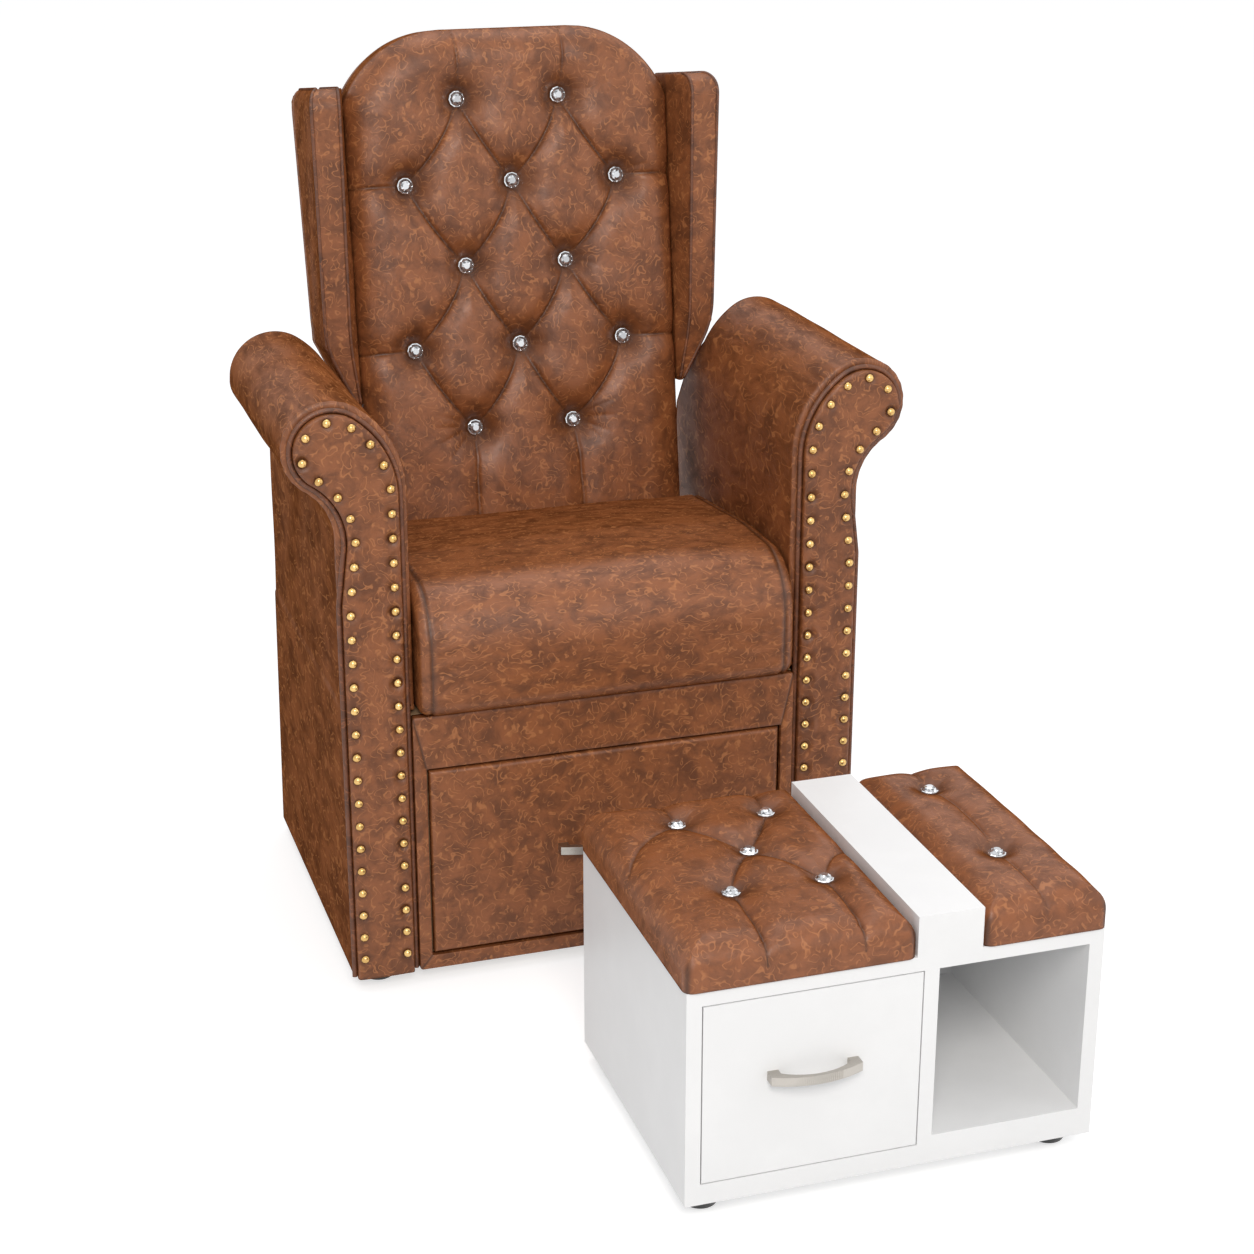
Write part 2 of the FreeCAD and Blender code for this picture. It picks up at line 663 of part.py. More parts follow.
def make_nails():
    """Domed nails spread evenly along a line inside the panel's edge."""
    inset = float(cell.panel_inset + cell.piping_radius + cell.nail_inset)
    low = float(cell.chair_lift + cell.nail_start)
    path = scroll_wire(inset, low, float(FRONT))
    count = int(round(path.Length / float(cell.nail_pitch))) + 1
    radius, height = float(cell.nail_radius), float(cell.nail_height)
    dome = dome_shape(radius, height)
    down = Vector(0, 0, -1)
    shank = Part.makeCylinder(float(cell.nail_shank), float(cell.nail_length), Vector(0, 0, 0), down)
    nail = dome.fuse(shank).removeSplitter()
    facing = Rotation(Vector(0, 0, 1), Vector(0, -1, 0))
    spots = path.discretize(Number=count)
    return Part.makeCompound([nail.transformed(Placement(spot, facing).toMatrix()) for spot in spots])


def dome_shape(radius, height):
    """The cap of a ball, flat side down at Z = 0."""
    ball = (radius ** 2 + height ** 2) / (2 * height)
    arc = Part.Arc(Vector(radius, 0, 0),
                   Vector(ball * math.sin(math.asin(radius / ball) / 2), 0,
                          height - ball + ball * math.cos(math.asin(radius / ball) / 2)),
                   Vector(0, 0, height)).toShape()
    floor = Part.LineSegment(Vector(0, 0, 0), Vector(radius, 0, 0)).toShape()
    axis = Part.LineSegment(Vector(0, 0, height), Vector(0, 0, 0)).toShape()
    return Part.Face(Part.Wire([floor, arc, axis])).revolve(Vector(0, 0, 0), Vector(0, 0, 1), 360)


# Seat box

def make_seat_box():
    """Face frame, sides, rear, base, and a deck of zigzag springs."""
    half = BOX_HALF - cell.piping_radius - cell.fit_gap
    low = cell.chair_lift
    opening = ((-cell.opening_half, cell.opening_half), (FRONT, BOX_FRONT),
               (cell.opening_low, cell.opening_high))
    core = block("face_frame_board", (-half, half), (FRAME_FRONT, BOX_FRONT), (low, cell.rail_top))
    node(cut("face_frame", core, block("face_frame_opening", *opening)), "face_frame")

    front = FRONT + cell.frame_recess
    slab = block("face_frame_slab", (-half, half), (front, FRAME_FRONT), (low, cell.rail_top))
    skin = cut("face_frame_skin", slab,
               block("face_frame_window", *opening))
    soft = round_edges("face_frame_pad", skin, cell.soft_round,
                       lambda middle, edge: edge.BoundBox.YMax < float(front) + 0.1)
    node(soft, "face_frame_pad")

    box_y = (BOX_FRONT, BOX_REAR - cell.ply)
    right = block("seat_box_right", (BOX_INSIDE, BOX_HALF), (BOX_FRONT, BOX_REAR), (low, cell.rail_top))
    node(right, "seat_box_right")
    node(mirror("seat_box_left", right), "seat_box_left")
    inside = (-BOX_INSIDE, BOX_INSIDE)
    node(block("base_board", inside, (BOX_FRONT, BOX_REAR), (low, low + cell.base_board)), "base_board")
    rear_board = block("rear_panel", inside, (BOX_REAR - cell.ply, BOX_REAR),
                       (low + cell.base_board, cell.rail_top))
    node(rear_board, "rear_panel")

    deck_z = (cell.rail_top - cell.ply, cell.rail_top)
    deck = block("seat_deck_board", inside, box_y, deck_z)
    border = cell.deck_border
    hole = block("seat_deck_opening", (border - BOX_INSIDE, BOX_INSIDE - border),
                 (BOX_FRONT + border, BOX_REAR - cell.ply - border), deck_z)
    node(cut("seat_deck", deck, hole), "seat_deck")
    node(shaped("seat_springs", make_springs()), "seat_springs")


def make_springs():
    """Zigzag springs side by side, each one wire from the front rail to the rear rail."""
    front = float(BOX_FRONT + cell.deck_border)
    rear = float(BOX_REAR - cell.ply - cell.deck_border)
    half_step = float(cell.spring_step) / 2
    turns = int((rear - front - 3 * half_step) / float(cell.spring_step))
    lead = (rear - front - turns * 2 * half_step) / 2
    reach = float(cell.spring_half) - half_step
    height = float(cell.rail_top - cell.ply / 2)
    count = int(float(cell.spring_count))
    clear = float(BOX_INSIDE - cell.deck_border) * 2
    springs = []
    for number in range(count):
        middle = -clear / 2 + clear * (number + 0.5) / count
        path = zigzag(middle, front, lead, turns, half_step, reach, height)
        circle = Part.Circle(Vector(middle, front, height), Vector(0, 1, 0), float(cell.spring_wire))
        ring = Part.Wire(circle.toShape())
        springs.append(path.makePipeShell([ring], True, False, 1))
    return Part.makeCompound(springs)


def zigzag(middle, front, lead, turns, radius, reach, height):
    """A flat path: a straight lead, quarter turn, runs with half turns, quarter turn, straight lead."""
    edges = []

    def line(a, b):
        edges.append(Part.LineSegment(Vector(*a, height), Vector(*b, height)).toShape())

    def bend(a, b, c):
        edges.append(Part.Arc(Vector(*a, height), Vector(*b, height), Vector(*c, height)).toShape())

    diagonal = radius * (1 - math.sqrt(0.5))
    along = front + lead
    line((middle, front), (middle, along - radius))
    bend((middle, along - radius), (middle + diagonal, along - diagonal), (middle + radius, along))
    start = middle + radius
    side = 1
    for _ in range(turns):
        far = middle + side * reach
        line((start, along), (far, along))
        bend((far, along), (far + side * radius, along + radius), (far, along + 2 * radius))
        start = far
        along += 2 * radius
        side = -side
    stop = middle - side * radius
    line((start, along), (stop, along))
    bend((stop, along), (middle - side * diagonal, along + diagonal), (middle, along + radius))
    line((middle, along + radius), (middle, along + lead))
    return Part.Wire(edges)


def make_seat_cushion():
    """A thick cushion with a round nose, a crown and drawn-in sides."""
    half = float(cell.arm_inner - cell.seat_side)
    drawn, crown = float(cell.seat_drawn), float(cell.seat_crown)
    right = [(half * share, 0, crown * math.cos(share * math.pi / 2)) for share in (0.3, 0.6, 0.85)]
    for angle in (0, 30, 55, 75, 90):
        bend = math.radians(angle)
        right.append((half - drawn * (1 - math.sin(bend)), drawn * (1 - math.cos(bend)), 0))
    left = [(-x, inset, rise) for x, inset, rise in reversed(right)]
    sections = [seat_section(x, inset, rise) for x, inset, rise in left + [(0, 0, crown)] + right]
    node(shaped("seat_cushion", Part.makeLoft(sections, True, True)), "seat_cushion")


def seat_section(x, inset, rise):
    """The seat cushion's side view at one place across, drawn in by inset, with a risen top."""
    front = float(FRONT - cell.seat_overhang) + inset
    low = float(cell.rail_top + cell.fit_gap) + inset
    nose = float(cell.seat_nose)
    chin = float(cell.seat_chin)
    lean = math.radians(float(cell.back_lean))
    clear = float(cell.back_crown + cell.fit_gap * 3) + inset

    def rear(z):
        return float(FRONT + cell.back_offset) + z * math.tan(lean) - clear / math.cos(lean)

    top_front = float(cell.seat_front_z) - inset
    top_rear = float(cell.seat_rear_z) - inset
    slope = (top_front - top_rear) / (rear(top_rear) - front - nose)
    corner = nose / 6
    back_top = Vector(x, rear(top_rear - corner), top_rear - corner)
    points = {
        "chin_low": Vector(x, front + chin, low),
        "chin_high": Vector(x, front, low + chin),
        "nose_low": Vector(x, front, top_front - nose),
        "nose_high": Vector(x, front + nose, top_front),
        "rear_high": Vector(x, rear(top_rear) - corner, top_rear + slope * corner),
        "rear_turn": back_top,
        "rear_low": Vector(x, rear(low), low),
    }
    diagonal = 1 - math.sqrt(0.5)
    chin_mid = Vector(x, front + chin * diagonal, low + chin * diagonal)
    nose_mid = Vector(x, front + nose * diagonal, top_front - nose * diagonal)
    top_mid = (points["nose_high"] + points["rear_high"]) * 0.5 + Vector(0, 0, rise + corner / 4)
    corner_mid = (points["rear_high"] + back_top) * 0.5 + Vector(0, corner / 5, corner / 5)
    edges = [
        Part.LineSegment(points["rear_low"], points["chin_low"]),
        Part.Arc(points["chin_low"], chin_mid, points["chin_high"]),
        Part.LineSegment(points["chin_high"], points["nose_low"]),
        Part.Arc(points["nose_low"], nose_mid, points["nose_high"]),
        Part.Arc(points["nose_high"], top_mid, points["rear_high"]),
        Part.Arc(points["rear_high"], corner_mid, points["rear_turn"]),
        Part.LineSegment(points["rear_turn"], points["rear_low"]),
    ]
    return Part.Wire([edge.toShape() for edge in edges])


# Feet and their screws

def make_foot(radius, height):
    """A round foot with a rounded lower edge and a recess for its screw."""
    body = doc.addObject("PartDesign::Body", "foot_master")
    drawing = sketch_on(body, "XZ_Plane", "foot_section")
    bore = cell.foot_screw
    recess = cell.foot_screw_head + cell.fit_gap
    deep = as_size(height) / 3
    round_low = cell.foot_round
    corners = [
        (bore, deep), (recess, deep), (recess, 0), (radius - round_low, 0),
        (radius - round_low * 0.3, round_low * 0.3), (radius, round_low), (radius, height), (bore, height),
    ]
    draw_polygon(drawing, corners)
    turning = body.newObject("PartDesign::Revolution", "foot_turned")
    turning.Profile = drawing
    turning.ReferenceAxis = (drawing, ["V_Axis"])
    turning.Angle = 360
    doc.recompute()
    return body


def make_foot_screw(height):
    """A pan head in the foot's recess and a shank up into the board."""
    deep = float(height) / 3
    long = float(height) - deep + float(cell.foot_screw_bite)
    head = float(cell.foot_screw_head)
    shank = Part.makeCylinder(float(cell.foot_screw), long, Vector(0, 0, deep))
    return Part.makeCylinder(head, deep / 2, Vector(0, 0, deep / 2)).fuse(shank).removeSplitter()


def make_feet(name, radius, height, spots):
    """Four feet and the screws that hold them."""
    foot = make_foot(radius, height).Shape
    places = [at(x, y, 0) for x, y in spots]
    node(copies(f"{name}_feet", foot, places), f"{name}_feet")
    node(copies(f"{name}_foot_screws", make_foot_screw(height), places), f"{name}_foot_screws")


def chair_foot_spots():
    ends = (FRONT + cell.foot_front, FRONT + FOOT_REAR)
    return [(x, y) for x in (-cell.foot_side, cell.foot_side) for y in ends]


# Backrest. Its pieces are drawn upright, with the button plane at Y = 0, and then leant back.

BACK_REAR = cell.back_foam + cell.back_ply
BUTTON_PLANE = FRONT + cell.back_offset
PIVOT_Y = BUTTON_PLANE + cell.pivot_up * sine(cell.back_lean) + cell.pivot_deep * cosine(cell.back_lean)
PIVOT_Z = cell.pivot_up * cosine(cell.back_lean) - cell.pivot_deep * sine(cell.back_lean)


def leaning():
    tilt = Rotation(Vector(-1, 0, 0), float(cell.back_lean))
    return Placement(Vector(0, float(BUTTON_PLANE), 0), tilt)


def lean(thing):
    """Lean a piece back, with its place and angle bound to the sheet."""
    thing.Placement = leaning()
    bind(thing, "Placement.Base.y", BUTTON_PLANE)
    thing.setExpression("Placement.Rotation.Angle", f"{cell.back_lean.words} * 1deg")
    return thing


def back_half_body(name, grow, front, thick):
    """Half of the backrest's rear outline: straight below, wide at the wings, arched at the top.

    The part behind the wings is grown by a size.
    """
    body = doc.addObject("PartDesign::Body", name)
    drawing = sketch_on(body, "XZ_Plane", f"{name}_outline", -as_size(front))
    side = FRAME_HALF
    shoulder = cell.wing_high - cell.wing_padding + grow
    top = cell.back_high - cell.soft_round
    radius = cell.arch_radius - cell.soft_round
    centre = top - radius
    rise = float(shoulder - centre)
    meet = float(cell.arch_straight) + math.sqrt(float(radius) ** 2 - rise ** 2)
    corners = [
        (as_size(0), cell.frame_low), (side, cell.frame_low), (side, cell.wing_low),
        (cell.wing_outer_waist - cell.wing_padding + grow, cell.wing_waist),
        (cell.wing_outer_high - cell.wing_padding + grow, shoulder),
    ]
    spots = [Vector(float(x), float(z), 0) for x, z in corners]
    spots.append(Vector(meet, float(shoulder), 0))
    lines = [drawing.addGeometry(Part.LineSegment(a, b)) for a, b in zip(spots, spots[1:])]
    hub = Vector(float(cell.arch_straight), float(centre), 0)
    crest = Vector(hub.x, float(top), 0)
    arch = drawing.addGeometry(arc_between(hub, float(radius), spots[-1], crest))
    flat = drawing.addGeometry(Part.LineSegment(crest, Vector(0, float(top), 0)))
    middle = drawing.addGeometry(Part.LineSegment(Vector(0, float(top), 0), spots[0]))

    rule = Sketcher.Constraint
    for before, after in zip(lines, lines[1:]):
        drawing.addConstraint(rule("Coincident", before, 2, after, 1))
    for number, (x, z) in zip(lines, corners):
        place_point(drawing, number, 1, x, z)
    drawing.addConstraint(rule("Horizontal", lines[-1]))
    drawing.addConstraint(rule("Coincident", lines[-1], 2, arch, 1))
    drawing.addConstraint(rule("Tangent", arch, 2, flat, 1))
    drawing.addConstraint(rule("Horizontal", flat))
    drawing.addConstraint(rule("Coincident", flat, 2, middle, 1))
    drawing.addConstraint(rule("Coincident", middle, 2, lines[0], 1))
    place_point(drawing, flat, 2, as_size(0), top)
    place_point(drawing, arch, 3, cell.arch_straight, centre)
    pad(body, drawing, f"{name}_thick", thick, reverse=True)
    return body


def make_back_frame():
    """A plywood board with windows, a board standing forward in each wing, and bores for the pins."""
    half = back_half_body("back_frame_half", as_size(0), cell.back_foam, cell.back_ply)
    inner = FRAME_HALF - cell.frame_rail
    middle_rail = (cell.wing_low + cell.wing_waist) / 2
    spans = [(cell.frame_low + cell.frame_rail, middle_rail - cell.frame_rail / 2),
             (middle_rail + cell.frame_rail / 2, cell.back_high - cell.arch_radius)]
    for number, (low, high) in enumerate(spans, start=1):
        window = sketch_on(half, "XZ_Plane", f"back_window_{number}", -cell.back_foam)
        draw_polygon(window, [(as_size(0), low), (inner, low), (inner, high), (as_size(0), high)])
        pocket(half, window, f"back_window_cut_{number}")
    low, high = cell.wing_waist, cell.wing_high - cell.wing_padding * 2
    reach = cell.wing_front_waist - cell.wing_padding
    waist, top = cell.wing_outer_waist - cell.wing_padding, cell.wing_outer_high - cell.wing_padding
    slope = (top - waist) / (cell.wing_high - cell.wing_padding - cell.wing_waist)
    top_here = waist + slope * (high - low)
    board = sketch_on(half, "XZ_Plane", "wing_board_outline", reach)
    draw_polygon(board, [(waist - cell.wing_board, low), (waist, low), (top_here, high),
                         (top_here - cell.wing_board, high)])
    pad(half, board, "wing_board_deep", reach + cell.back_foam + cell.back_ply / 2, reverse=True)

    whole = fuse("back_frame_boards", half, mirror("back_frame_other_half", half))
    deep = cell.pin_reach + cell.fit_gap
    bore = cylinder("pin_bore", cell.pin_radius + cell.fit_gap, deep,
                    (FRAME_HALF - deep, cell.pivot_deep, cell.pivot_up), Vector(1, 0, 0))
    node(lean(cut("back_frame", whole, bore, mirror("pin_bore_other", bore))), "back_frame")
    cover = back_half_body("back_cover_half", cell.wing_padding - cell.fit_gap, BACK_REAR, cell.back_cover)
    joined = fuse("back_cover_whole", cover, mirror("back_cover_other_half", cover))
    rear = float(BACK_REAR + cell.back_cover)
    corner_z = float(cell.wing_high) - 1
    shoulders = round_edges("back_cover_shoulders", joined, cell.wing_shoulder,
                            lambda middle, edge: middle.z > corner_z - 1 and middle.z < corner_z + 1
                            and edge.BoundBox.YLength > 1 and edge.BoundBox.XLength < 0.1)
    soft = round_edges("back_cover", shoulders, cell.soft_round - 1,
                       lambda middle, edge: edge.BoundBox.YMin > rear - 0.1)
    node(lean(soft), "back_cover")


def back_outline(inset, depth):
    """The back cushion's outline drawn in by inset, at one depth: straight sides and an arched top."""
    side = float(BACK_HALF) - inset
    low, high = float(cell.back_low) + inset, float(cell.back_high) - inset
    flat, radius = float(cell.arch_straight), float(cell.arch_radius) - inset
    centre = high - radius
    corner = float(cell.back_corner)
    rise = math.sqrt(radius ** 2 - (side - flat) ** 2)
    across = math.atan2(rise, side - flat)
    half_way = (across + math.pi / 2) / 2
    diagonal = corner * (1 - math.sqrt(0.5))

    def spot(x, z):
        return Vector(x, depth, z)

    def arch(sign, first, last):
        middle = (first + last) / 2
        ends = [spot(sign * (flat + radius * math.cos(angle)), centre + radius * math.sin(angle))
                for angle in (first, middle, last)]
        return Part.Arc(*ends)

    edges = [
        Part.LineSegment(spot(corner - side, low), spot(side - corner, low)),
        Part.Arc(spot(side - corner, low), spot(side - diagonal, low + diagonal), spot(side, low + corner)),
        Part.LineSegment(spot(side, low + corner), spot(side, centre + rise)),
        arch(1, across, half_way),
        arch(1, half_way, math.pi / 2),
        Part.LineSegment(spot(flat, high), spot(-flat, high)),
        arch(-1, math.pi / 2, half_way),
        arch(-1, half_way, across),
        Part.LineSegment(spot(-side, centre + rise), spot(-side, low + corner)),
        Part.Arc(spot(-side, low + corner), spot(diagonal - side, low + diagonal),
                 spot(corner - side, low)),
    ]
    return Part.Wire([edge.toShape() for edge in edges])


def seam(start, end, outward, depth, half):
    """The cutter of a V-shaped seam in a surface that passes through start and end."""
    along = end - start
    side = along.cross(outward).normalize() * (half * 1.5)
    lift = outward * (depth * 0.5)
    corners = [start - outward * depth, start + side + lift, start - side + lift]
    return Part.Face(Part.makePolygon(corners + corners[:1])).extrude(along)


def dimple(spot, outward, depth, floor, mouth):
    """The cutter of a round dimple whose flat floor lies at spot."""
    slope = (mouth - floor) / depth
    return Part.makeCone(floor, floor + slope * depth * 1.5, depth * 1.5, spot, outward)


def button_spots():
    """Rows of buttons by turns of two and three, from the top down, as (x, up) pairs."""
    near, far = float(cell.button_near), float(cell.button_far)
    rows = []
    for number in range(5):
        up = float(cell.button_top) - number * float(cell.button_row)
        places = (-near, near) if number % 2 == 0 else (-far, 0, far)
        rows.append([(x, up) for x in places])
    return rows


def make_back_cushion():
    """A tufted cushion: crowned, drawn in at the edge, with seams between its buttons."""
    crown, foam = float(cell.back_crown), float(cell.back_foam)
    levels = [(3, foam), (0, foam - 6), (0, 4), (1.5, -3), (5, -9), (11, -14), (20, -17.5), (34, -crown)]
    blank = Part.makeLoft([back_outline(inset, depth) for inset, depth in levels], True, True)
    out = Vector(0, -1, 0)
    rows = button_spots()
    lines = []
    across = float(cell.button_far) * 0.75
    for upper, lower in zip(rows, rows[1:]):
        for x, up in upper:
            lines += [((x, up), below) for below in lower if abs(below[0] - x) < across]
    high, low, side = float(cell.back_high), float(cell.back_low), float(BACK_HALF)
    lines += [((x, up), (x, high)) for x, up in rows[0]]
    lines += [((x, up), (x, low)) for x, up in rows[-1]]
    for row in rows[1::2]:
        lines += [((x, up), (math.copysign(side, x), up)) for x, up in (row[0], row[-1])]
    depth, half = float(cell.seam_depth), float(cell.seam_half)
    cutters = [seam(Vector(a[0], -crown, a[1]), Vector(b[0], -crown, b[1]), out, depth, half)
               for a, b in lines]
    floor, mouth = float(cell.button_radius) + 1, float(cell.dimple_radius)
    spots = [spot for row in rows for spot in row]
    cutters += [dimple(Vector(x, 0, up), out, crown, floor, mouth) for x, up in spots]
    tufted = blank.cut(cutters)
    node(shaped("back_cushion", tufted, leaning()), "back_cushion")

    facing = Rotation(Vector(0, 0, 1), out)
    button = make_button()
    parts = [button.transformed(Placement(Vector(x, 0, up), facing).toMatrix()) for x, up in spots]
    node(shaped("back_buttons", Part.makeCompound(parts), leaning()), "back_buttons")


def make_button():
    """A cut crystal in a metal cup, flat side down at Z = 0."""
    radius, height = float(cell.button_radius), float(cell.button_height)
    cup = height * 0.35
    table = radius * 0.55
    base = Part.makeCylinder(radius, cup)
    ring = [Vector(radius * math.cos(a), radius * math.sin(a), cup) for a in turns_of(12)]
    top = [Vector(table * math.cos(a), table * math.sin(a), height) for a in turns_of(12)]
    stone = Part.makeLoft([Part.makePolygon(ring + ring[:1]), Part.makePolygon(top + top[:1])], True, True)
    return base.fuse(stone).removeSplitter()


def turns_of(count):
    return [2 * math.pi * number / count for number in range(count)]


# Wings

def wing_stations():
    """Places up a wing with its forward reach and outer side; the top corner is rounded off twice."""
    low, waist, high = float(cell.wing_low), float(cell.wing_waist), float(cell.wing_high)
    round_off, drawn = float(cell.wing_round), float(cell.wing_shoulder)
    reach_low, reach_waist = float(cell.wing_front_low), float(cell.wing_front_waist)
    reach_high = float(cell.wing_front_high)
    straight = high - round_off

    def outer(up):
        waist_x, high_x = float(cell.wing_outer_waist), float(cell.wing_outer_high)
        level = high - float(cell.wing_padding)
        return waist_x + (high_x - waist_x) * (up - waist) / (level - waist)

    def reach(up):
        return reach_waist + (reach_high - reach_waist) * (up - waist) / (straight - waist)

    stations = [(low, reach_low, float(cell.wing_outer_low)), (waist, reach_waist, outer(waist)),
                (straight, reach_high, outer(straight))]
    for angle in (20, 40, 60, 86):
        bend = math.radians(angle)
        up = straight + round_off * math.sin(bend)
        share = 1 - math.cos(bend)
        stations.append((up, reach_high - round_off * share, outer(up) - drawn * share))
    return stations


def wing_section(up, reach, outer):
    """A wing cut across: beside the cushion, flaring out to its front band, and back along its side."""
    inner = float(BACK_HALF + cell.fit_gap * 3)
    rear = float(BACK_REAR)
    band = min(float(cell.wing_band), (outer - inner) * 0.7)
    corners = [
        Vector(inner, rear, up), Vector(inner, -1, up), Vector(outer - band, -reach, up),
        Vector(outer - 2, -reach, up), Vector(outer, 4 - reach, up), Vector(outer, rear, up),
    ]
    return Part.makePolygon(corners + corners[:1])


def rounded_path(points, radius):
    """A path through points whose turns are arcs of the radius, or less where a run is short."""
    edges = []
    last = points[0]
    for before, corner, after in zip(points, points[1:], points[2:]):
        into, out_of = (corner - before), (after - corner)
        turn = into.getAngle(out_of)
        room = min(into.Length, out_of.Length) * 0.45
        trim = min(radius * math.tan(turn / 2), room)
        start = corner - Vector(into).normalize() * trim
        end = corner + Vector(out_of).normalize() * trim
        bisector = (Vector(out_of).normalize() - Vector(into).normalize()).normalize()
        bend = trim / math.tan(turn / 2)
        middle = corner + bisector * (bend / math.cos(turn / 2) - bend)
        edges.append(Part.LineSegment(last, start).toShape())
        edges.append(Part.Arc(start, middle, end).toShape())
        last = end
    edges.append(Part.LineSegment(last, points[-1]).toShape())
    return Part.Wire(edges)


def make_wings():
    """Padded wings over the back frame, with piping along both edges of the front band."""
    stations = wing_stations()
    blank = Part.makeLoft([wing_section(*station) for station in stations], True, True)
    radius = float(cell.wing_piping)
    band = float(cell.wing_band)
    inner_x = float(BACK_HALF + cell.fit_gap * 3)
    rear = float(BACK_REAR) - radius
    inner_line = [Vector(outer - min(band, (outer - inner_x) * 0.7), -reach, up) for up, reach, outer in stations]
    outer_line = [Vector(outer - 1, 1 - reach, up) for up, reach, outer in stations]
    cords = []
    for line in (inner_line, outer_line):
        line.append(Vector(line[-1].x, rear, line[-1].z))
        path = rounded_path(line, float(cell.wing_round))
        ring = Part.Wire(Part.Circle(line[0], line[1] - line[0], radius).toShape())
        cords.append(path.makePipeShell([ring], True, False, 1))
    node(shaped("wing_piping_right", Part.makeCompound(cords), leaning()), "wing_piping_right")
    doc.recompute()
    frame = doc.getObject("back_frame").Shape.copy()
    frame.Placement = Placement()
    padded = blank.cut([frame] + cords)
    node(shaped("wing_right", padded, leaning()), "wing_right")
    node(mirror("wing_left", doc.getObject("wing_right")), "wing_left")
    node(mirror("wing_piping_left", doc.getObject("wing_piping_right")), "wing_piping_left")


# Recline hinges

def make_hinges():
    """On each side a base plate on the seat deck, a plate on the back frame, and a headed pin."""
    inner = FRAME_HALF + cell.plate_thick + cell.plate_gap
    outer = inner + cell.plate_thick
    across = (PIVOT_Y - cell.plate_half, PIVOT_Y + cell.plate_half)
    deck = cell.rail_top
    upright = block("base_plate_upright", (inner, outer), across, (deck, PIVOT_Z + cell.plate_over))
    foot = block("base_plate_foot", (outer, outer + cell.plate_foot), across,
                 (deck, deck + cell.plate_thick))
    bore = cylinder("base_plate_bore", cell.pin_radius, cell.plate_thick, (inner, PIVOT_Y, PIVOT_Z),
                    Vector(1, 0, 0))
    right = cut("base_plate_right", fuse("base_plate_bent", upright, foot), bore)
    node(group("hinge_base_plates", right, mirror("base_plate_left", right)), "hinge_base_plates")

    blade = doc.addObject("PartDesign::Body", "back_plate_right")
    drawing = sketch_on(blade, "YZ_Plane", "back_plate_outline", FRAME_HALF)
    low = cell.frame_low
    draw_polygon(drawing, [(cell.back_foam, low), (BACK_REAR, low), (BACK_REAR, low + cell.back_plate_long),
                           (cell.back_foam, low + cell.back_plate_long)])
    hole = sketch_on(blade, "YZ_Plane", "back_plate_hole", FRAME_HALF)
    radius = cell.pin_radius + cell.pin_play
    centre = Vector(float(cell.pivot_deep), float(cell.pivot_up), 0)
    circle = hole.addGeometry(Part.Circle(centre, Vector(0, 0, 1), radius.number))
    place_point(hole, circle, 3, cell.pivot_deep, cell.pivot_up)
    index = hole.addConstraint(Sketcher.Constraint("Radius", circle, radius.number))
    hole.setExpression(f"Constraints[{index}]", radius.words)
    pad(blade, drawing, "back_plate_thick", cell.plate_thick)
    pocket(blade, hole, "back_plate_bore")
    lean(blade)
    node(group("hinge_back_plates", blade, mirror("back_plate_left", blade)), "hinge_back_plates")

    side = Vector(1, 0, 0)
    head = cylinder("pin_head_right", cell.pin_head, cell.plate_thick * 0.75,
                    (outer, PIVOT_Y, PIVOT_Z), side)
    collar = cylinder("pin_collar_right", cell.pin_head, cell.plate_gap - cell.fit_gap,
                      (inner - cell.plate_gap + cell.fit_gap, PIVOT_Y, PIVOT_Z), side)
    tip = FRAME_HALF - cell.pin_reach
    shank = cylinder("pin_shank_right", cell.pin_radius, outer - tip, (tip, PIVOT_Y, PIVOT_Z), side)
    pin = fuse("pin_right", head, collar, shank)
    node(group("hinge_pins", pin, mirror("pin_left", pin)), "hinge_pins")


# Drawers

def screw_lines(middle, centres, handle_z, start, long):
    """Shanks of a handle's two screws, running forward from start."""
    forward = Vector(0, -1, 0)
    shanks = []
    for x in (middle - centres / 2, middle + centres / 2):
        spot = Vector(float(x), float(start), float(handle_z))
        shanks.append(Part.makeCylinder(float(cell.screw_radius), float(long), spot, forward))
    return shanks


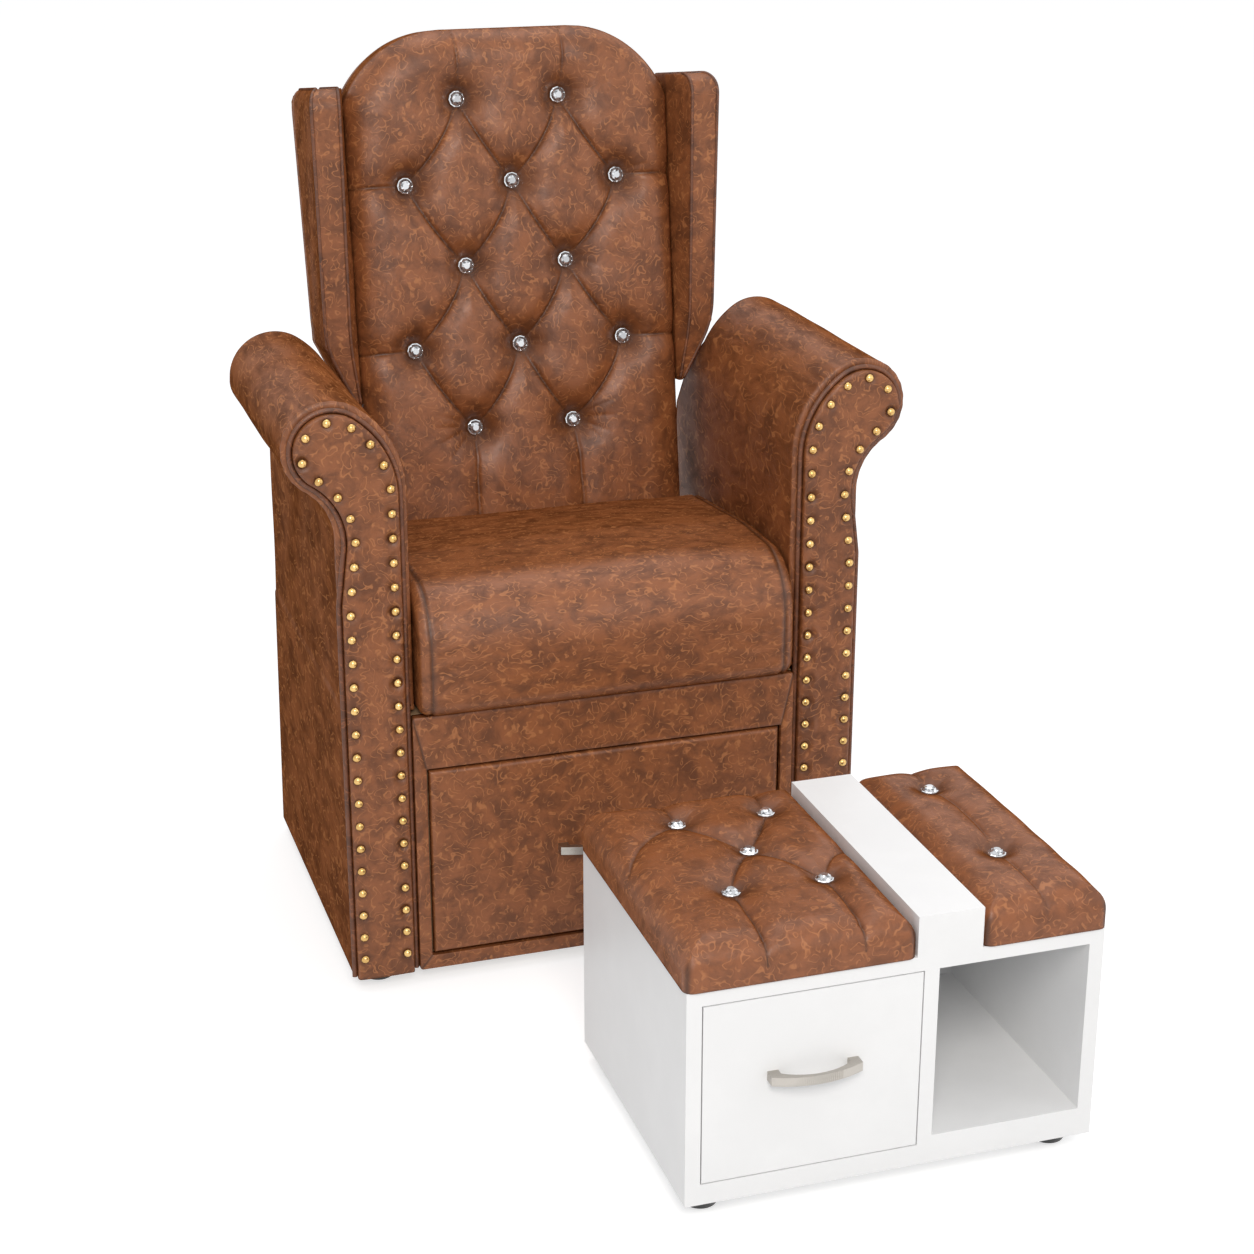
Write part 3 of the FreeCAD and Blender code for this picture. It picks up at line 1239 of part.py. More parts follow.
def make_handle(name, middle, face, height, centres):
    """A bow handle: a flat band bent outwards between two feet, ribbed in its middle."""
    body = doc.addObject("PartDesign::Body", f"{name}_bow")
    for axis, place in zip("xyz", (middle, face, height)):
        bind(body, f"Placement.Base.{axis}", place)
    drawing = sketch_on(body, "XY_Plane", f"{name}_outline")
    half = (centres + cell.handle_foot) / 2
    inner = half - cell.handle_foot
    end_out, out, thick = cell.handle_end_out, cell.handle_out, cell.handle_thick

    def flat(x, y):
        return Vector(float(x), float(y), 0)

    corners = [(-half, as_size(0)), (-half, -end_out), (half, -end_out), (half, as_size(0)),
               (inner, as_size(0)), (inner, thick - end_out), (-inner, thick - end_out),
               (-inner, as_size(0))]
    spots = [flat(x, y) for x, y in corners]
    outer_arc = Part.Arc(spots[1], flat(0, -out), spots[2])
    inner_arc = Part.Arc(spots[6], flat(0, thick - out), spots[5])
    line = Part.LineSegment
    pieces = [line(spots[0], spots[1]), outer_arc, line(spots[2], spots[3]), line(spots[3], spots[4]),
              line(spots[4], spots[5]), inner_arc, line(spots[6], spots[7]), line(spots[7], spots[0])]
    first = [drawing.addGeometry(piece) for piece in pieces]
    rule = Sketcher.Constraint
    joints = [(0, 2, 1, 1), (1, 2, 2, 1), (2, 2, 3, 1), (3, 2, 4, 1),
              (4, 2, 5, 2), (5, 1, 6, 1), (6, 2, 7, 1), (7, 2, 0, 1)]
    for a, a_end, b, b_end in joints:
        drawing.addConstraint(rule("Coincident", first[a], a_end, first[b], b_end))
    for number, (x, y) in enumerate(corners):
        place_point(drawing, number // 2 * 2, number % 2 + 1, x, y)
    for geometry, reach, rise in ((1, half, out - end_out), (5, inner, out - end_out)):
        radius = (reach * reach + rise * rise) / (rise * 2)
        index = drawing.addConstraint(rule("Radius", geometry, radius.number))
        drawing.setExpression(f"Constraints[{index}]", radius.words)
    pad(body, drawing, f"{name}_band", cell.handle_high, middle=True)

    rise = out - end_out
    bow = (half * half + rise * rise) / (rise * 2)
    groove = body.newObject("Sketcher::SketchObject", f"{name}_groove")
    plane = [feature for feature in body.Origin.OriginFeatures if feature.Role == "XY_Plane"][0]
    groove.AttachmentSupport = (plane, "")
    groove.MapMode = "FlatFace"
    bind(groove, "AttachmentOffset.Base.y", bow - out)
    step = cell.handle_rib
    count = int(float(cell.handle_ribs))
    first_angle = (count - 1) / 2 * float(step) / float(bow)
    turn = Rotation(Vector(0, 0, 1), -math.degrees(first_angle))
    groove.AttachmentOffset = Placement(groove.AttachmentOffset.Base, turn)
    bind(groove, "AttachmentOffset.Base.y", bow - out)
    groove_half, groove_deep = step / 5, step / 5
    draw_polygon(groove, [(-groove_half, -bow - groove_deep), (groove_half, -bow - groove_deep),
                          (groove_half, groove_deep - bow), (-groove_half, groove_deep - bow)])
    doc.recompute()
    trench = pocket(body, groove, f"{name}_groove_cut")
    pattern = body.newObject("PartDesign::PolarPattern", f"{name}_ribs")
    pattern.Originals = [trench]
    pattern.Axis = (groove, ["N_Axis"])
    pattern.Mode = "Extent"
    pattern.Angle = math.degrees(2 * first_angle)
    pattern.Occurrences = count
    body.Tip = pattern
    return body


def make_drawer(name, middle, half, low, high, front_back):
    """A drawer box with its bottom in grooves; it starts behind the drawer front."""
    wall = cell.drawer_wall
    across = (middle - half, middle + half)
    along = (front_back, front_back + cell.drawer_long)
    outside = block(f"{name}_outside", across, along, (low, high))
    inside = block(f"{name}_inside", (middle - half + wall, middle + half - wall),
                   (front_back + wall, front_back + cell.drawer_long - wall), (low, high))
    floor_low = low + cell.drawer_floor_up
    panel = block(f"{name}_bottom", (middle - half + wall / 2, middle + half - wall / 2),
                  (front_back + wall / 2, front_back + cell.drawer_long - wall / 2),
                  (floor_low, floor_low + cell.drawer_floor))
    node(panel, f"{name}_bottom")
    return cut(f"{name}_walls", outside, inside, panel)


def make_fasteners(name, middle, centres, handle_z, inside, face):
    """Handle screws: pan heads inside the drawer, shanks through the front into the handle's feet."""
    long = inside - face + cell.screw_bite
    shanks = screw_lines(middle, centres, handle_z, inside, long)
    heads = []
    for x in (middle - centres / 2, middle + centres / 2):
        heads.append(Part.makeCylinder(float(cell.screw_head), float(cell.screw_head_high),
                                       Vector(float(x), float(inside), float(handle_z)), Vector(0, 1, 0)))
    screws = [head.fuse(shank).removeSplitter() for head, shank in zip(heads, shanks)]
    return shaped(f"{name}_screws", Part.makeCompound(screws))


def make_slides(name, middle, wall, start, height):
    """A pair of drawer slides: channels on the cabinet, channels on the drawer, ball cages between."""
    steel = cell.slide_steel
    high, deep = cell.slide_outer_half, cell.slide_outer_deep
    side = middle + wall

    def channel(label, back, lip, web_in, half):
        body = doc.addObject("PartDesign::Body", label)
        drawing = sketch_on(body, "XZ_Plane", f"{label}_section", -as_size(start))
        draw_polygon(drawing, [
            (back, height - half), (lip, height - half), (lip, height - half + steel),
            (web_in, height - half + steel), (web_in, height + half - steel), (lip, height + half - steel),
            (lip, height + half), (back, height + half),
        ])
        pad(body, drawing, f"{label}_length", cell.slide_long, reverse=True)
        return body

    outer = channel(f"{name}_cabinet_channel", side, side - deep, side - steel, high)
    node(group(f"{name}_cabinet_runners", outer, mirror(f"{name}_cabinet_channel_left", outer, middle)),
         f"{name}_cabinet_runners")
    back = side - cell.slide_room
    low_half = cell.slide_inner_half
    inner = channel(f"{name}_drawer_channel", back, back + cell.slide_inner_deep, back + steel, low_half)
    node(group(f"{name}_drawer_runners", inner, mirror(f"{name}_drawer_channel_left", inner, middle)),
         f"{name}_drawer_runners")

    cage = shaped(f"{name}_cage_right", make_cage(side, float(start), float(height)))
    node(group(f"{name}_ball_cages", cage, mirror(f"{name}_cage_left", cage, middle)), f"{name}_ball_cages")


def make_cage(side, start, height):
    """Two strips with balls, joined by a web behind the drawer's channel."""
    side = float(side)
    ball = float(cell.ball_radius)
    thick = float(cell.cage_steel)
    step = float(cell.ball_step)
    count = int(float(cell.ball_count))
    long = step * count
    race = (float(cell.slide_outer_half - cell.slide_steel) + float(cell.slide_inner_half)) / 2
    first = start + float(cell.slide_travel) / 2 + (float(cell.slide_long - cell.slide_travel) - long) / 2
    lip = side - float(cell.slide_room) + float(cell.slide_inner_deep)
    web = (lip + side - float(cell.slide_steel)) / 2
    track = side - (float(cell.slide_outer_deep) + float(cell.slide_steel)) / 2
    strip_from = track - ball
    pieces = [Part.makeBox(thick, long, 2 * race, Vector(web - thick / 2, first, height - race))]
    for level in (height - race, height + race):
        corner = Vector(strip_from, first, level - thick / 2)
        pieces.append(Part.makeBox(web - strip_from, long, thick, corner))
        for number in range(count):
            pieces.append(Part.makeSphere(ball, Vector(track, first + (number + 0.5) * step, level)))
    return pieces[0].fuse(pieces[1:]).removeSplitter()


def make_chair_drawer():
    """The upholstered drawer in the chair's base."""
    gap = cell.show_gap
    half = cell.opening_half - gap
    face = FRONT + cell.front_recess
    board_front = face + cell.front_padding
    board_back = board_front + cell.front_board
    low, high = cell.opening_low + gap, cell.opening_high - gap
    centres = cell.handle_centres
    screws = make_fasteners("chair_drawer", as_size(0), centres, cell.handle_z,
                            board_back + cell.drawer_wall, face)
    board = block("chair_drawer_board", (-half, half), (board_front, board_back), (low, high))
    slab = block("chair_drawer_slab", (-half, half), (face, board_front), (low, high))
    soft = round_edges("chair_drawer_soft", slab, cell.soft_round + 1,
                       lambda middle, edge: edge.BoundBox.YMax < float(face) + 0.1)
    room = BOX_INSIDE - cell.slide_room
    walls = make_drawer("chair_drawer", as_size(0), room, cell.drawer_low, cell.drawer_high, board_back)
    handle = make_handle("chair_handle", as_size(0), face, cell.handle_z, centres)
    node(cut("chair_drawer_front", board, screws), "chair_drawer_front")
    node(cut("chair_drawer_pad", soft, screws), "chair_drawer_pad")
    node(cut("chair_drawer_box", walls, screws), "chair_drawer_box")
    node(cut("chair_drawer_handle", handle, screws), "chair_drawer_handle")
    node(screws, "chair_drawer_screws")
    middle_height = (cell.drawer_low + cell.drawer_high) / 2
    make_slides("chair", as_size(0), BOX_INSIDE, BOX_FRONT, middle_height)


# Footstool

def make_stool_cabinet():
    """White boards: sides, divider, bottom, back, top, and a raised board between the pads."""
    left, right = cell.stool_left, STOOL_RIGHT
    board = cell.stool_board
    front, rear = STOOL_FRONT, STOOL_REAR
    low = cell.stool_lift
    under_top = cell.stool_top - board
    floor = low + cell.stool_bottom
    along = (front, rear)
    inside = (left + board, right - board)
    node(block("stool_left_side", (left, left + board), along, (low, under_top)), "stool_left_side")
    node(block("stool_right_side", (right - board, right), along, (low, under_top)), "stool_right_side")
    bay = left + cell.stool_bay
    back = (rear - cell.stool_back_in - board, rear - cell.stool_back_in)
    node(block("stool_divider", (bay, bay + board), (front, back[0]), (floor, under_top)), "stool_divider")
    bottom = block("stool_bottom_board", inside, along, (low, floor))
    rebate = block("stool_bottom_rebate", (left + board, bay), (front, front + board),
                   (floor - cell.stool_rebate, floor))
    spots = stool_foot_spots()
    bores = [cylinder(f"stool_foot_bore_{number}", cell.foot_screw, cell.foot_screw_bite, (x, y, low))
             for number, (x, y) in enumerate(spots, start=1)]
    node(cut("stool_bottom", bottom, rebate, *bores), "stool_bottom")
    node(block("stool_back", inside, back, (floor, under_top)), "stool_back")
    node(block("stool_top", (left, right), along, (under_top, cell.stool_top)), "stool_top")
    raised = left + cell.middle_left
    node(block("stool_middle_board", (raised, raised + cell.middle_wide), along,
               (cell.stool_top, cell.stool_top + cell.middle_high)), "stool_middle_board")


def stool_foot_spots():
    sides = (cell.stool_left + cell.stool_foot_side, STOOL_RIGHT - cell.stool_foot_side)
    ends = (STOOL_FRONT + cell.stool_foot_end, STOOL_REAR - cell.stool_foot_end)
    return [(x, y) for x in sides for y in ends]


def pad_outline(x, y, inset, level):
    """A rectangle with round corners, drawn in by inset, at one height."""
    radius = float(cell.pad_corner)
    x0, x1, y0, y1 = x[0] + inset, x[1] - inset, y[0] + inset, y[1] - inset
    diagonal = radius * (1 - math.sqrt(0.5))

    def spot(a, b):
        return Vector(a, b, level)

    edges = [
        Part.LineSegment(spot(x0 + radius, y0), spot(x1 - radius, y0)),
        Part.Arc(spot(x1 - radius, y0), spot(x1 - diagonal, y0 + diagonal), spot(x1, y0 + radius)),
        Part.LineSegment(spot(x1, y0 + radius), spot(x1, y1 - radius)),
        Part.Arc(spot(x1, y1 - radius), spot(x1 - diagonal, y1 - diagonal), spot(x1 - radius, y1)),
        Part.LineSegment(spot(x1 - radius, y1), spot(x0 + radius, y1)),
        Part.Arc(spot(x0 + radius, y1), spot(x0 + diagonal, y1 - diagonal), spot(x0, y1 - radius)),
        Part.LineSegment(spot(x0, y1 - radius), spot(x0, y0 + radius)),
        Part.Arc(spot(x0, y0 + radius), spot(x0 + diagonal, y0 + diagonal), spot(x0 + radius, y0)),
    ]
    return Part.Wire([edge.toShape() for edge in edges])


def make_pad(name, x, y, buttons, lines):
    """A tufted pad on the footstool, crowned and drawn in at its upper edge."""
    x = [float(place) for place in x]
    y = [float(place) for place in y]
    base = float(cell.stool_top)
    high, crown, draw = float(cell.pad_high), float(cell.pad_crown), float(cell.pad_draw)
    levels = [(2, 0), (0, high * 0.2), (0, high * 0.55), (draw * 0.06, high * 0.75),
              (draw * 0.2, high * 0.9), (draw * 0.42, high), (draw * 0.68, high + crown * 0.6),
              (draw, high + crown)]
    blank = Part.makeLoft([pad_outline(x, y, inset, base + level) for inset, level in levels], True, True)
    top = base + high + crown
    up = Vector(0, 0, 1)
    depth = float(cell.seam_depth) * 0.7
    half = float(cell.seam_half)
    cutters = [seam(Vector(*a, top), Vector(*b, top), up, depth, half) for a, b in lines]
    sink = float(cell.pad_sink)
    floor, mouth = float(cell.button_radius) + 1, float(cell.dimple_radius)
    places = [Vector(*spot, top - sink) for spot in buttons]
    cutters += [dimple(place, up, sink, floor, mouth) for place in places]
    node(shaped(name, blank.cut(cutters)), name)
    return places


def make_stool_pads():
    """The wide pad with five buttons and the narrow pad with two."""
    left, over = cell.stool_left, cell.pad_over
    along = (STOOL_FRONT - over, STOOL_REAR + over)
    front, rear = float(along[0]), float(along[1])
    wide = (left - over, left + cell.middle_left - cell.fit_gap)
    narrow = (left + cell.middle_left + cell.middle_wide + cell.fit_gap, STOOL_RIGHT + over)
    near, far = (float(STOOL_FRONT + v) for v in (cell.pad_button_front, cell.pad_button_rear))
    sides = [float(left + u) for u in (cell.pad_button_left, cell.pad_button_right)]
    centre = (sum(sides) / 2, (near + far) / 2)
    corners = [(x, y) for y in (far, near) for x in sides]
    lines = [(spot, centre) for spot in corners]
    lines += [(spot, (spot[0], rear if spot[1] == far else front)) for spot in corners]
    lines += [(corners[0], (float(wide[0]), far)), (corners[3], (float(wide[1]), near))]
    places = make_pad("stool_wide_pad", wide, along, corners + [centre], lines)
    middle = float(narrow[0] + narrow[1]) / 2
    pair = [(middle, far), (middle, near)]
    places += make_pad("stool_narrow_pad", narrow, along, pair, [((middle, rear), (middle, front))])
    button = make_button()
    spots = [Placement(place, Rotation()) for place in places]
    node(copies("stool_buttons", button, spots), "stool_buttons")


def make_stool_drawer():
    """The footstool's drawer, whose front is set in between the boards."""
    left, board, reveal = cell.stool_left, cell.stool_board, cell.stool_reveal
    bay_left, bay_right = left + board, left + cell.stool_bay
    middle = (bay_left + bay_right) / 2
    clear = (bay_right - bay_left) / 2
    low = cell.stool_lift + cell.stool_bottom - cell.stool_rebate + reveal
    high = cell.stool_top - board - reveal
    back = STOOL_FRONT + board
    centres = cell.stool_handle_centres
    screws = make_fasteners("stool_drawer", middle, centres, cell.stool_handle_z,
                            back + cell.drawer_wall, STOOL_FRONT)
    front = block("stool_drawer_board", (bay_left + reveal, bay_right - reveal), (STOOL_FRONT, back),
                  (low, high))
    walls = make_drawer("stool_drawer", middle, clear - cell.slide_room, cell.stool_drawer_low,
                        cell.stool_drawer_high, back)
    handle = make_handle("stool_handle", middle, STOOL_FRONT, cell.stool_handle_z, centres)
    node(cut("stool_drawer_front", front, screws), "stool_drawer_front")
    node(cut("stool_drawer_box", walls, screws), "stool_drawer_box")
    node(cut("stool_drawer_handle", handle, screws), "stool_drawer_handle")
    node(screws, "stool_drawer_screws")
    middle_height = (cell.stool_drawer_low + cell.stool_drawer_high) / 2
    make_slides("stool", middle, clear, back + cell.fit_gap, middle_height)


# Check and export

def finish():
    doc.recompute()
    for thing in doc.Objects:
        if "Invalid" in thing.State or "Error" in thing.State:
            raise RuntimeError(f"{thing.Label} failed: {thing.State}")
    for thing in nodes:
        if thing.Shape.isNull() or not thing.Shape.isValid() or not thing.Shape.Solids:
            raise RuntimeError(f"{thing.Label} has no valid solid")
    os.makedirs("parts", exist_ok=True)
    for thing in nodes:
        thing.Shape.exportStep(f"parts/{thing.Label}.step")
    whole = Part.makeCompound([thing.Shape for thing in nodes]).BoundBox
    print(f"{len(nodes)} nodes, X {whole.XMin:.1f} to {whole.XMax:.1f}, "
          f"Y {whole.YMin:.1f} to {whole.YMax:.1f}, Z {whole.ZMin:.1f} to {whole.ZMax:.1f}")


make_arm()
make_seat_box()
make_seat_cushion()
make_feet("chair", cell.foot_radius, cell.chair_lift, chair_foot_spots())
make_back_frame()
make_back_cushion()
make_wings()
make_hinges()
make_chair_drawer()
make_stool_cabinet()
make_stool_pads()
make_stool_drawer()
make_feet("stool", cell.stool_foot_radius, cell.stool_lift, stool_foot_spots())
finish()
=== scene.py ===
# %% [markdown]
# # A pedicure chair with its footstool
#
# The real set is a wing chair in mottled brown leather with a tufted back, and a white cabinet with
# two leather pads, a drawer and an open cubby for the feet to rest on. The engineering model already
# holds every board, hinge and slide. This lesson dresses it: each soft piece becomes a surface worked
# out with numpy, and each finish becomes a set of shader nodes. Lengths are in metres.

# %% Load the engineering model
import json
import math

import bmesh
import bpy
import numpy as np
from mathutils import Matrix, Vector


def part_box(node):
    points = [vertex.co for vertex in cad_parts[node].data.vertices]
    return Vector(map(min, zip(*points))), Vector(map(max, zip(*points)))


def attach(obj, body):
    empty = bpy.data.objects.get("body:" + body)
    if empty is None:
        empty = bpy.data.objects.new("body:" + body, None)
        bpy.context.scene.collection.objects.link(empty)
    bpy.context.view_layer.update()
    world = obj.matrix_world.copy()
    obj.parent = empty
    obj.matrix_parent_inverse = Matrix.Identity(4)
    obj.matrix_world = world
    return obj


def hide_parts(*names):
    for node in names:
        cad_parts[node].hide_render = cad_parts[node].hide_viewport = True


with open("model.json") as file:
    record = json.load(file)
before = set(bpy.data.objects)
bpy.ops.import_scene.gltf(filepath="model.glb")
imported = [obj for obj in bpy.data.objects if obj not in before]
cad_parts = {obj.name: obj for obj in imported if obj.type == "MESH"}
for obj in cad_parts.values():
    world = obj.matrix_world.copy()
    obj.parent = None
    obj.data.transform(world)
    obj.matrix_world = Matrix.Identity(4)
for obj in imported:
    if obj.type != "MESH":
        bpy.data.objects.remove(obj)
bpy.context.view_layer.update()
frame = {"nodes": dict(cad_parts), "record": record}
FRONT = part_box("arm_panel_right")[0][1]

# %% [markdown]
# ## The camera
#
# The photograph was taken from the left and from above with a long lens. The straight edges of chair
# and footstool gave the camera's place, its two angles and its focal length, so these are used as they
# are. A rotation about X tips the camera down and a rotation about Z turns it to the right.

# %% The photographer's place
PITCH, YAW = 0.3566, 0.3121
camera = bpy.data.objects.new("camera", bpy.data.cameras.new("camera"))
bpy.context.collection.objects.link(camera)
camera.location = (-0.8752, FRONT - 2.7919, 1.5713)
camera.rotation_euler = (math.pi / 2 - PITCH, 0, -YAW)
camera.data.sensor_width = 36
camera.data.lens = 36 * 2400 / 1254
camera.data.clip_end = 60
bpy.context.scene.camera = camera
bpy.context.scene.view_settings.view_transform = "Standard"
print("camera at", tuple(round(v, 3) for v in camera.location), "lens", round(camera.data.lens, 1))

# %% [markdown]
# ## Floor, world and lamps
#
# The set stands in a white studio. The floor is a plain pale diffuse surface, so it takes the soft
# shadow. What the camera sees of it is raised to white by a little emission that only camera, glossy
# and transmission rays meet, so it doesn't light the object. The world works the same way: white to
# look at, weaker as a light. Three large lamps stand in for softboxes.

# %% A small kit for shader nodes
def tree_node(tree, kind, inputs=None, **settings):
    """Add a node, set its properties, and fill its inputs with numbers or with other nodes' sockets."""
    made = tree.nodes.new(kind)
    for key, value in settings.items():
        setattr(made, key, value)
    for key, value in (inputs or {}).items():
        socket = made.inputs[key]
        if isinstance(value, bpy.types.NodeSocket):
            tree.links.new(value, socket)
        else:
            socket.default_value = value
    return made


def look_factor(tree):
    """1 for rays that show a surface to the eye: straight, mirrored or through glass."""
    path = tree_node(tree, "ShaderNodeLightPath")
    mirrored = tree_node(tree, "ShaderNodeMath", {0: path.outputs["Is Camera Ray"],
                         1: path.outputs["Is Glossy Ray"]}, operation="MAXIMUM")
    seen = tree_node(tree, "ShaderNodeMath", {0: mirrored.outputs[0],
                     1: path.outputs["Is Transmission Ray"]}, operation="MAXIMUM")
    return seen.outputs[0]


def blank_material(name):
    """A material with an empty node tree and an output node."""
    material = bpy.data.materials.new(name)
    material.use_nodes = True
    material.node_tree.nodes.clear()
    output = tree_node(material.node_tree, "ShaderNodeOutputMaterial")
    return material, material.node_tree, output

# %% White studio
world = bpy.data.worlds.new("studio")
bpy.context.scene.world = world
world.use_nodes = True
sky = world.node_tree
sky.nodes.clear()
light_level = tree_node(sky, "ShaderNodeBackground", {"Color": (0.97, 0.98, 1, 1), "Strength": 0.66})
seen_level = tree_node(sky, "ShaderNodeBackground", {"Color": (1, 1, 1, 1), "Strength": 1.05})
sky_mix = tree_node(sky, "ShaderNodeMixShader", {0: look_factor(sky), 1: light_level.outputs[0],
                    2: seen_level.outputs[0]})
tree_node(sky, "ShaderNodeOutputWorld", {"Surface": sky_mix.outputs[0]})

floor_material, tree, output = blank_material("studio_floor")
lit = tree_node(tree, "ShaderNodeBsdfDiffuse", {"Color": (0.62, 0.62, 0.62, 1)})
raised = tree_node(tree, "ShaderNodeEmission", {"Color": (1, 1, 1, 1), "Strength": 0.60})
dark = tree_node(tree, "ShaderNodeEmission", {"Strength": 0.0})
only_seen = tree_node(tree, "ShaderNodeMixShader", {0: look_factor(tree), 1: dark.outputs[0],
                      2: raised.outputs[0]})
both = tree_node(tree, "ShaderNodeAddShader", {0: lit.outputs[0], 1: only_seen.outputs[0]})
tree.links.new(both.outputs[0], output.inputs["Surface"])

floor_mesh = bpy.data.meshes.new("floor")
floor_mesh.from_pydata([(-20, -20, 0), (20, -20, 0), (20, 20, 0), (-20, 20, 0)], [], [(0, 1, 2, 3)])
floor_mesh.materials.append(floor_material)
floor = bpy.data.objects.new("floor", floor_mesh)
bpy.context.collection.objects.link(floor)
print("floor and world ready")

# %% Three softboxes
def softbox(name, place, aim, size, power, colour=(1, 1, 1)):
    """Add a square area lamp at a place, turned towards the point aim."""
    lamp = bpy.data.lights.new(name, "AREA")
    lamp.size = size
    lamp.energy = power
    lamp.color = colour
    holder = bpy.data.objects.new(name, lamp)
    bpy.context.collection.objects.link(holder)
    way = np.array(aim, float) - np.array(place, float)
    flat = math.hypot(way[0], way[1])
    holder.location = place
    holder.rotation_euler = (math.atan2(flat, -way[2]), 0, math.atan2(-way[0], way[1]))


softbox("key", (-0.9, -3.6, 3.0), (0, 0, 0.6), 1.5, 94, (1, 0.97, 0.93))
softbox("fill", (3.2, -2.2, 2.0), (0, 0, 0.5), 2.6, 16)
softbox("top", (0.3, 0.6, 4.2), (0, 0, 0.4), 2.2, 28)
print("three lamps")

# %% [markdown]
# ## Building surfaces from numbers
#
# A padded panel is one sheet of points over its outline, a second sheet for its back, and a few rings
# of points that join their borders, so that the skin is closed. A roll or a piping is a profile carried
# along a path. Everything is computed as whole arrays.

# %% Sheets, rings and caps
def grid_faces(rows, columns, start=0, wrap=False):
    """Quads between neighbours in a grid stored row by row; wrap joins the last column to the first."""
    number = start + np.arange(rows * columns).reshape(rows, columns)
    if wrap:
        number = np.hstack([number, number[:, :1]])
    corners = (number[:-1, :-1], number[:-1, 1:], number[1:, 1:], number[1:, :-1])
    return np.stack(corners, axis=-1).reshape(-1, 4)


def border(rows, columns):
    """Numbers of the points round a grid's edge, in order."""
    number = np.arange(rows * columns).reshape(rows, columns)
    return np.concatenate([number[0, :-1], number[:-1, -1], number[-1, :0:-1], number[:0:-1, 0]])


def closed_pad(front, rear, rings):
    """Points and faces of a pad: a front sheet, rings from its border to the rear sheet's, a flat back.

    A ring at share t lies at (1 - t) * front + t * rear.
    """
    rows, columns = front.shape[:2]
    edge = border(rows, columns)
    near, far = front.reshape(-1, 3), rear.reshape(-1, 3)
    share = (np.arange(rings) + 1)[:, None, None] / (rings + 1)
    between = near[edge] * (1 - share) + far[edge] * share
    points = np.concatenate([near, between.reshape(-1, 3), far[edge]])
    count = rows * columns
    loops = [edge] + [count + number * len(edge) + np.arange(len(edge)) for number in range(rings + 1)]
    faces = grid_faces(rows, columns).tolist()
    for first, second in zip(loops, loops[1:]):
        faces += np.stack([first, second, np.roll(second, -1), np.roll(first, -1)], axis=-1).tolist()
    faces.append(loops[-1].tolist())
    return points, faces


def tube(rows):
    """Points and faces of a closed skin from rows of closed loops, with a flat cap at each end."""
    count, size = rows.shape[:2]
    faces = grid_faces(count, size, wrap=True).tolist()
    faces.append(list(range(size))[::-1])
    faces.append(list(range((count - 1) * size, count * size)))
    return rows.reshape(-1, 3), faces


def make_piece(name, skin, body, material, replaced=(), crease=None):
    """Put a skin of points and faces into a mesh, turn its faces outwards, and let it ride on a body.

    The crease values are painted shade: they say how dark the leather is drawn in its folds, pits, seams,
    corners and nail dimples.
    """
    points, faces = skin
    mesh = bpy.data.meshes.new(name)
    mesh.from_pydata(points.tolist(), [], faces)
    work = bmesh.new()
    work.from_mesh(mesh)
    bmesh.ops.recalc_face_normals(work, faces=work.faces)
    work.to_mesh(mesh)
    work.free()
    mesh.shade_smooth()
    # Painted shade: a per-point darkness that the leather materials mix into their colour.
    if crease is not None:
        dark = np.zeros(len(points), dtype=np.float32)
        dark[:crease.size] = crease.reshape(-1)
        mesh.attributes.new("crease", "FLOAT", "POINT").data.foreach_set("value", dark)
    mesh.materials.append(material)
    piece = bpy.data.objects.new(name, mesh)
    bpy.context.collection.objects.link(piece)
    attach(piece, body)
    if replaced:
        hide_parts(*replaced)
    print(f"{name}: {len(points)} points on {body}")
    return piece


def mirrored(rows):
    """The same points on the chair's other side."""
    return rows * np.array([-1.0, 1, 1])


def both_sides(rows):
    """A name and the points for each side, from points on the right side."""
    return (("right", rows), ("left", mirrored(rows)))

# %% [markdown]
# ## Mottled leather
#
# The leather is soft and pull-up dyed: warm brown with darker clouds, fine lighter veins that curl, and
# a pebbled grain. Three things make it here. Clouds are a slow noise. Veins are the narrow bands where
# a second, warped noise crosses evenly spaced levels, like the lines of a map, and a third noise breaks
# them up. The grain is the distance between neighbouring cells. All of them live in one node group,
# because every leather piece uses them, each at its own stretch.

# %% A group for the leather's pattern
def new_group(name, inputs, outputs):
    """A shader node group with named sockets; returns its tree and its two end nodes."""
    group = bpy.data.node_groups.new(name, "ShaderNodeTree")
    for label, kind, value in inputs:
        socket = group.interface.new_socket(label, in_out="INPUT", socket_type=kind)
        if value is not None:
            socket.default_value = value
    for label, kind in outputs:
        group.interface.new_socket(label, in_out="OUTPUT", socket_type=kind)
    start = group.nodes.new("NodeGroupInput")
    end = group.nodes.new("NodeGroupOutput")
    return group, start, end


def maths(tree, operation, first, second=0.0, third=0.0):
    """One Math node; its inputs are numbers or sockets, and only a multiply-add uses the third."""
    made = tree_node(tree, "ShaderNodeMath", {0: first, 1: second, 2: third}, operation=operation)
    return made.outputs[0]


def remap(tree, value, low, high):
    """Stretch the range from low to high to 0 to 1, with eased ends."""
    made = tree_node(tree, "ShaderNodeMapRange", {"Value": value, "From Min": low, "From Max": high},
                     interpolation_type="SMOOTHSTEP")
    return made.outputs["Result"]


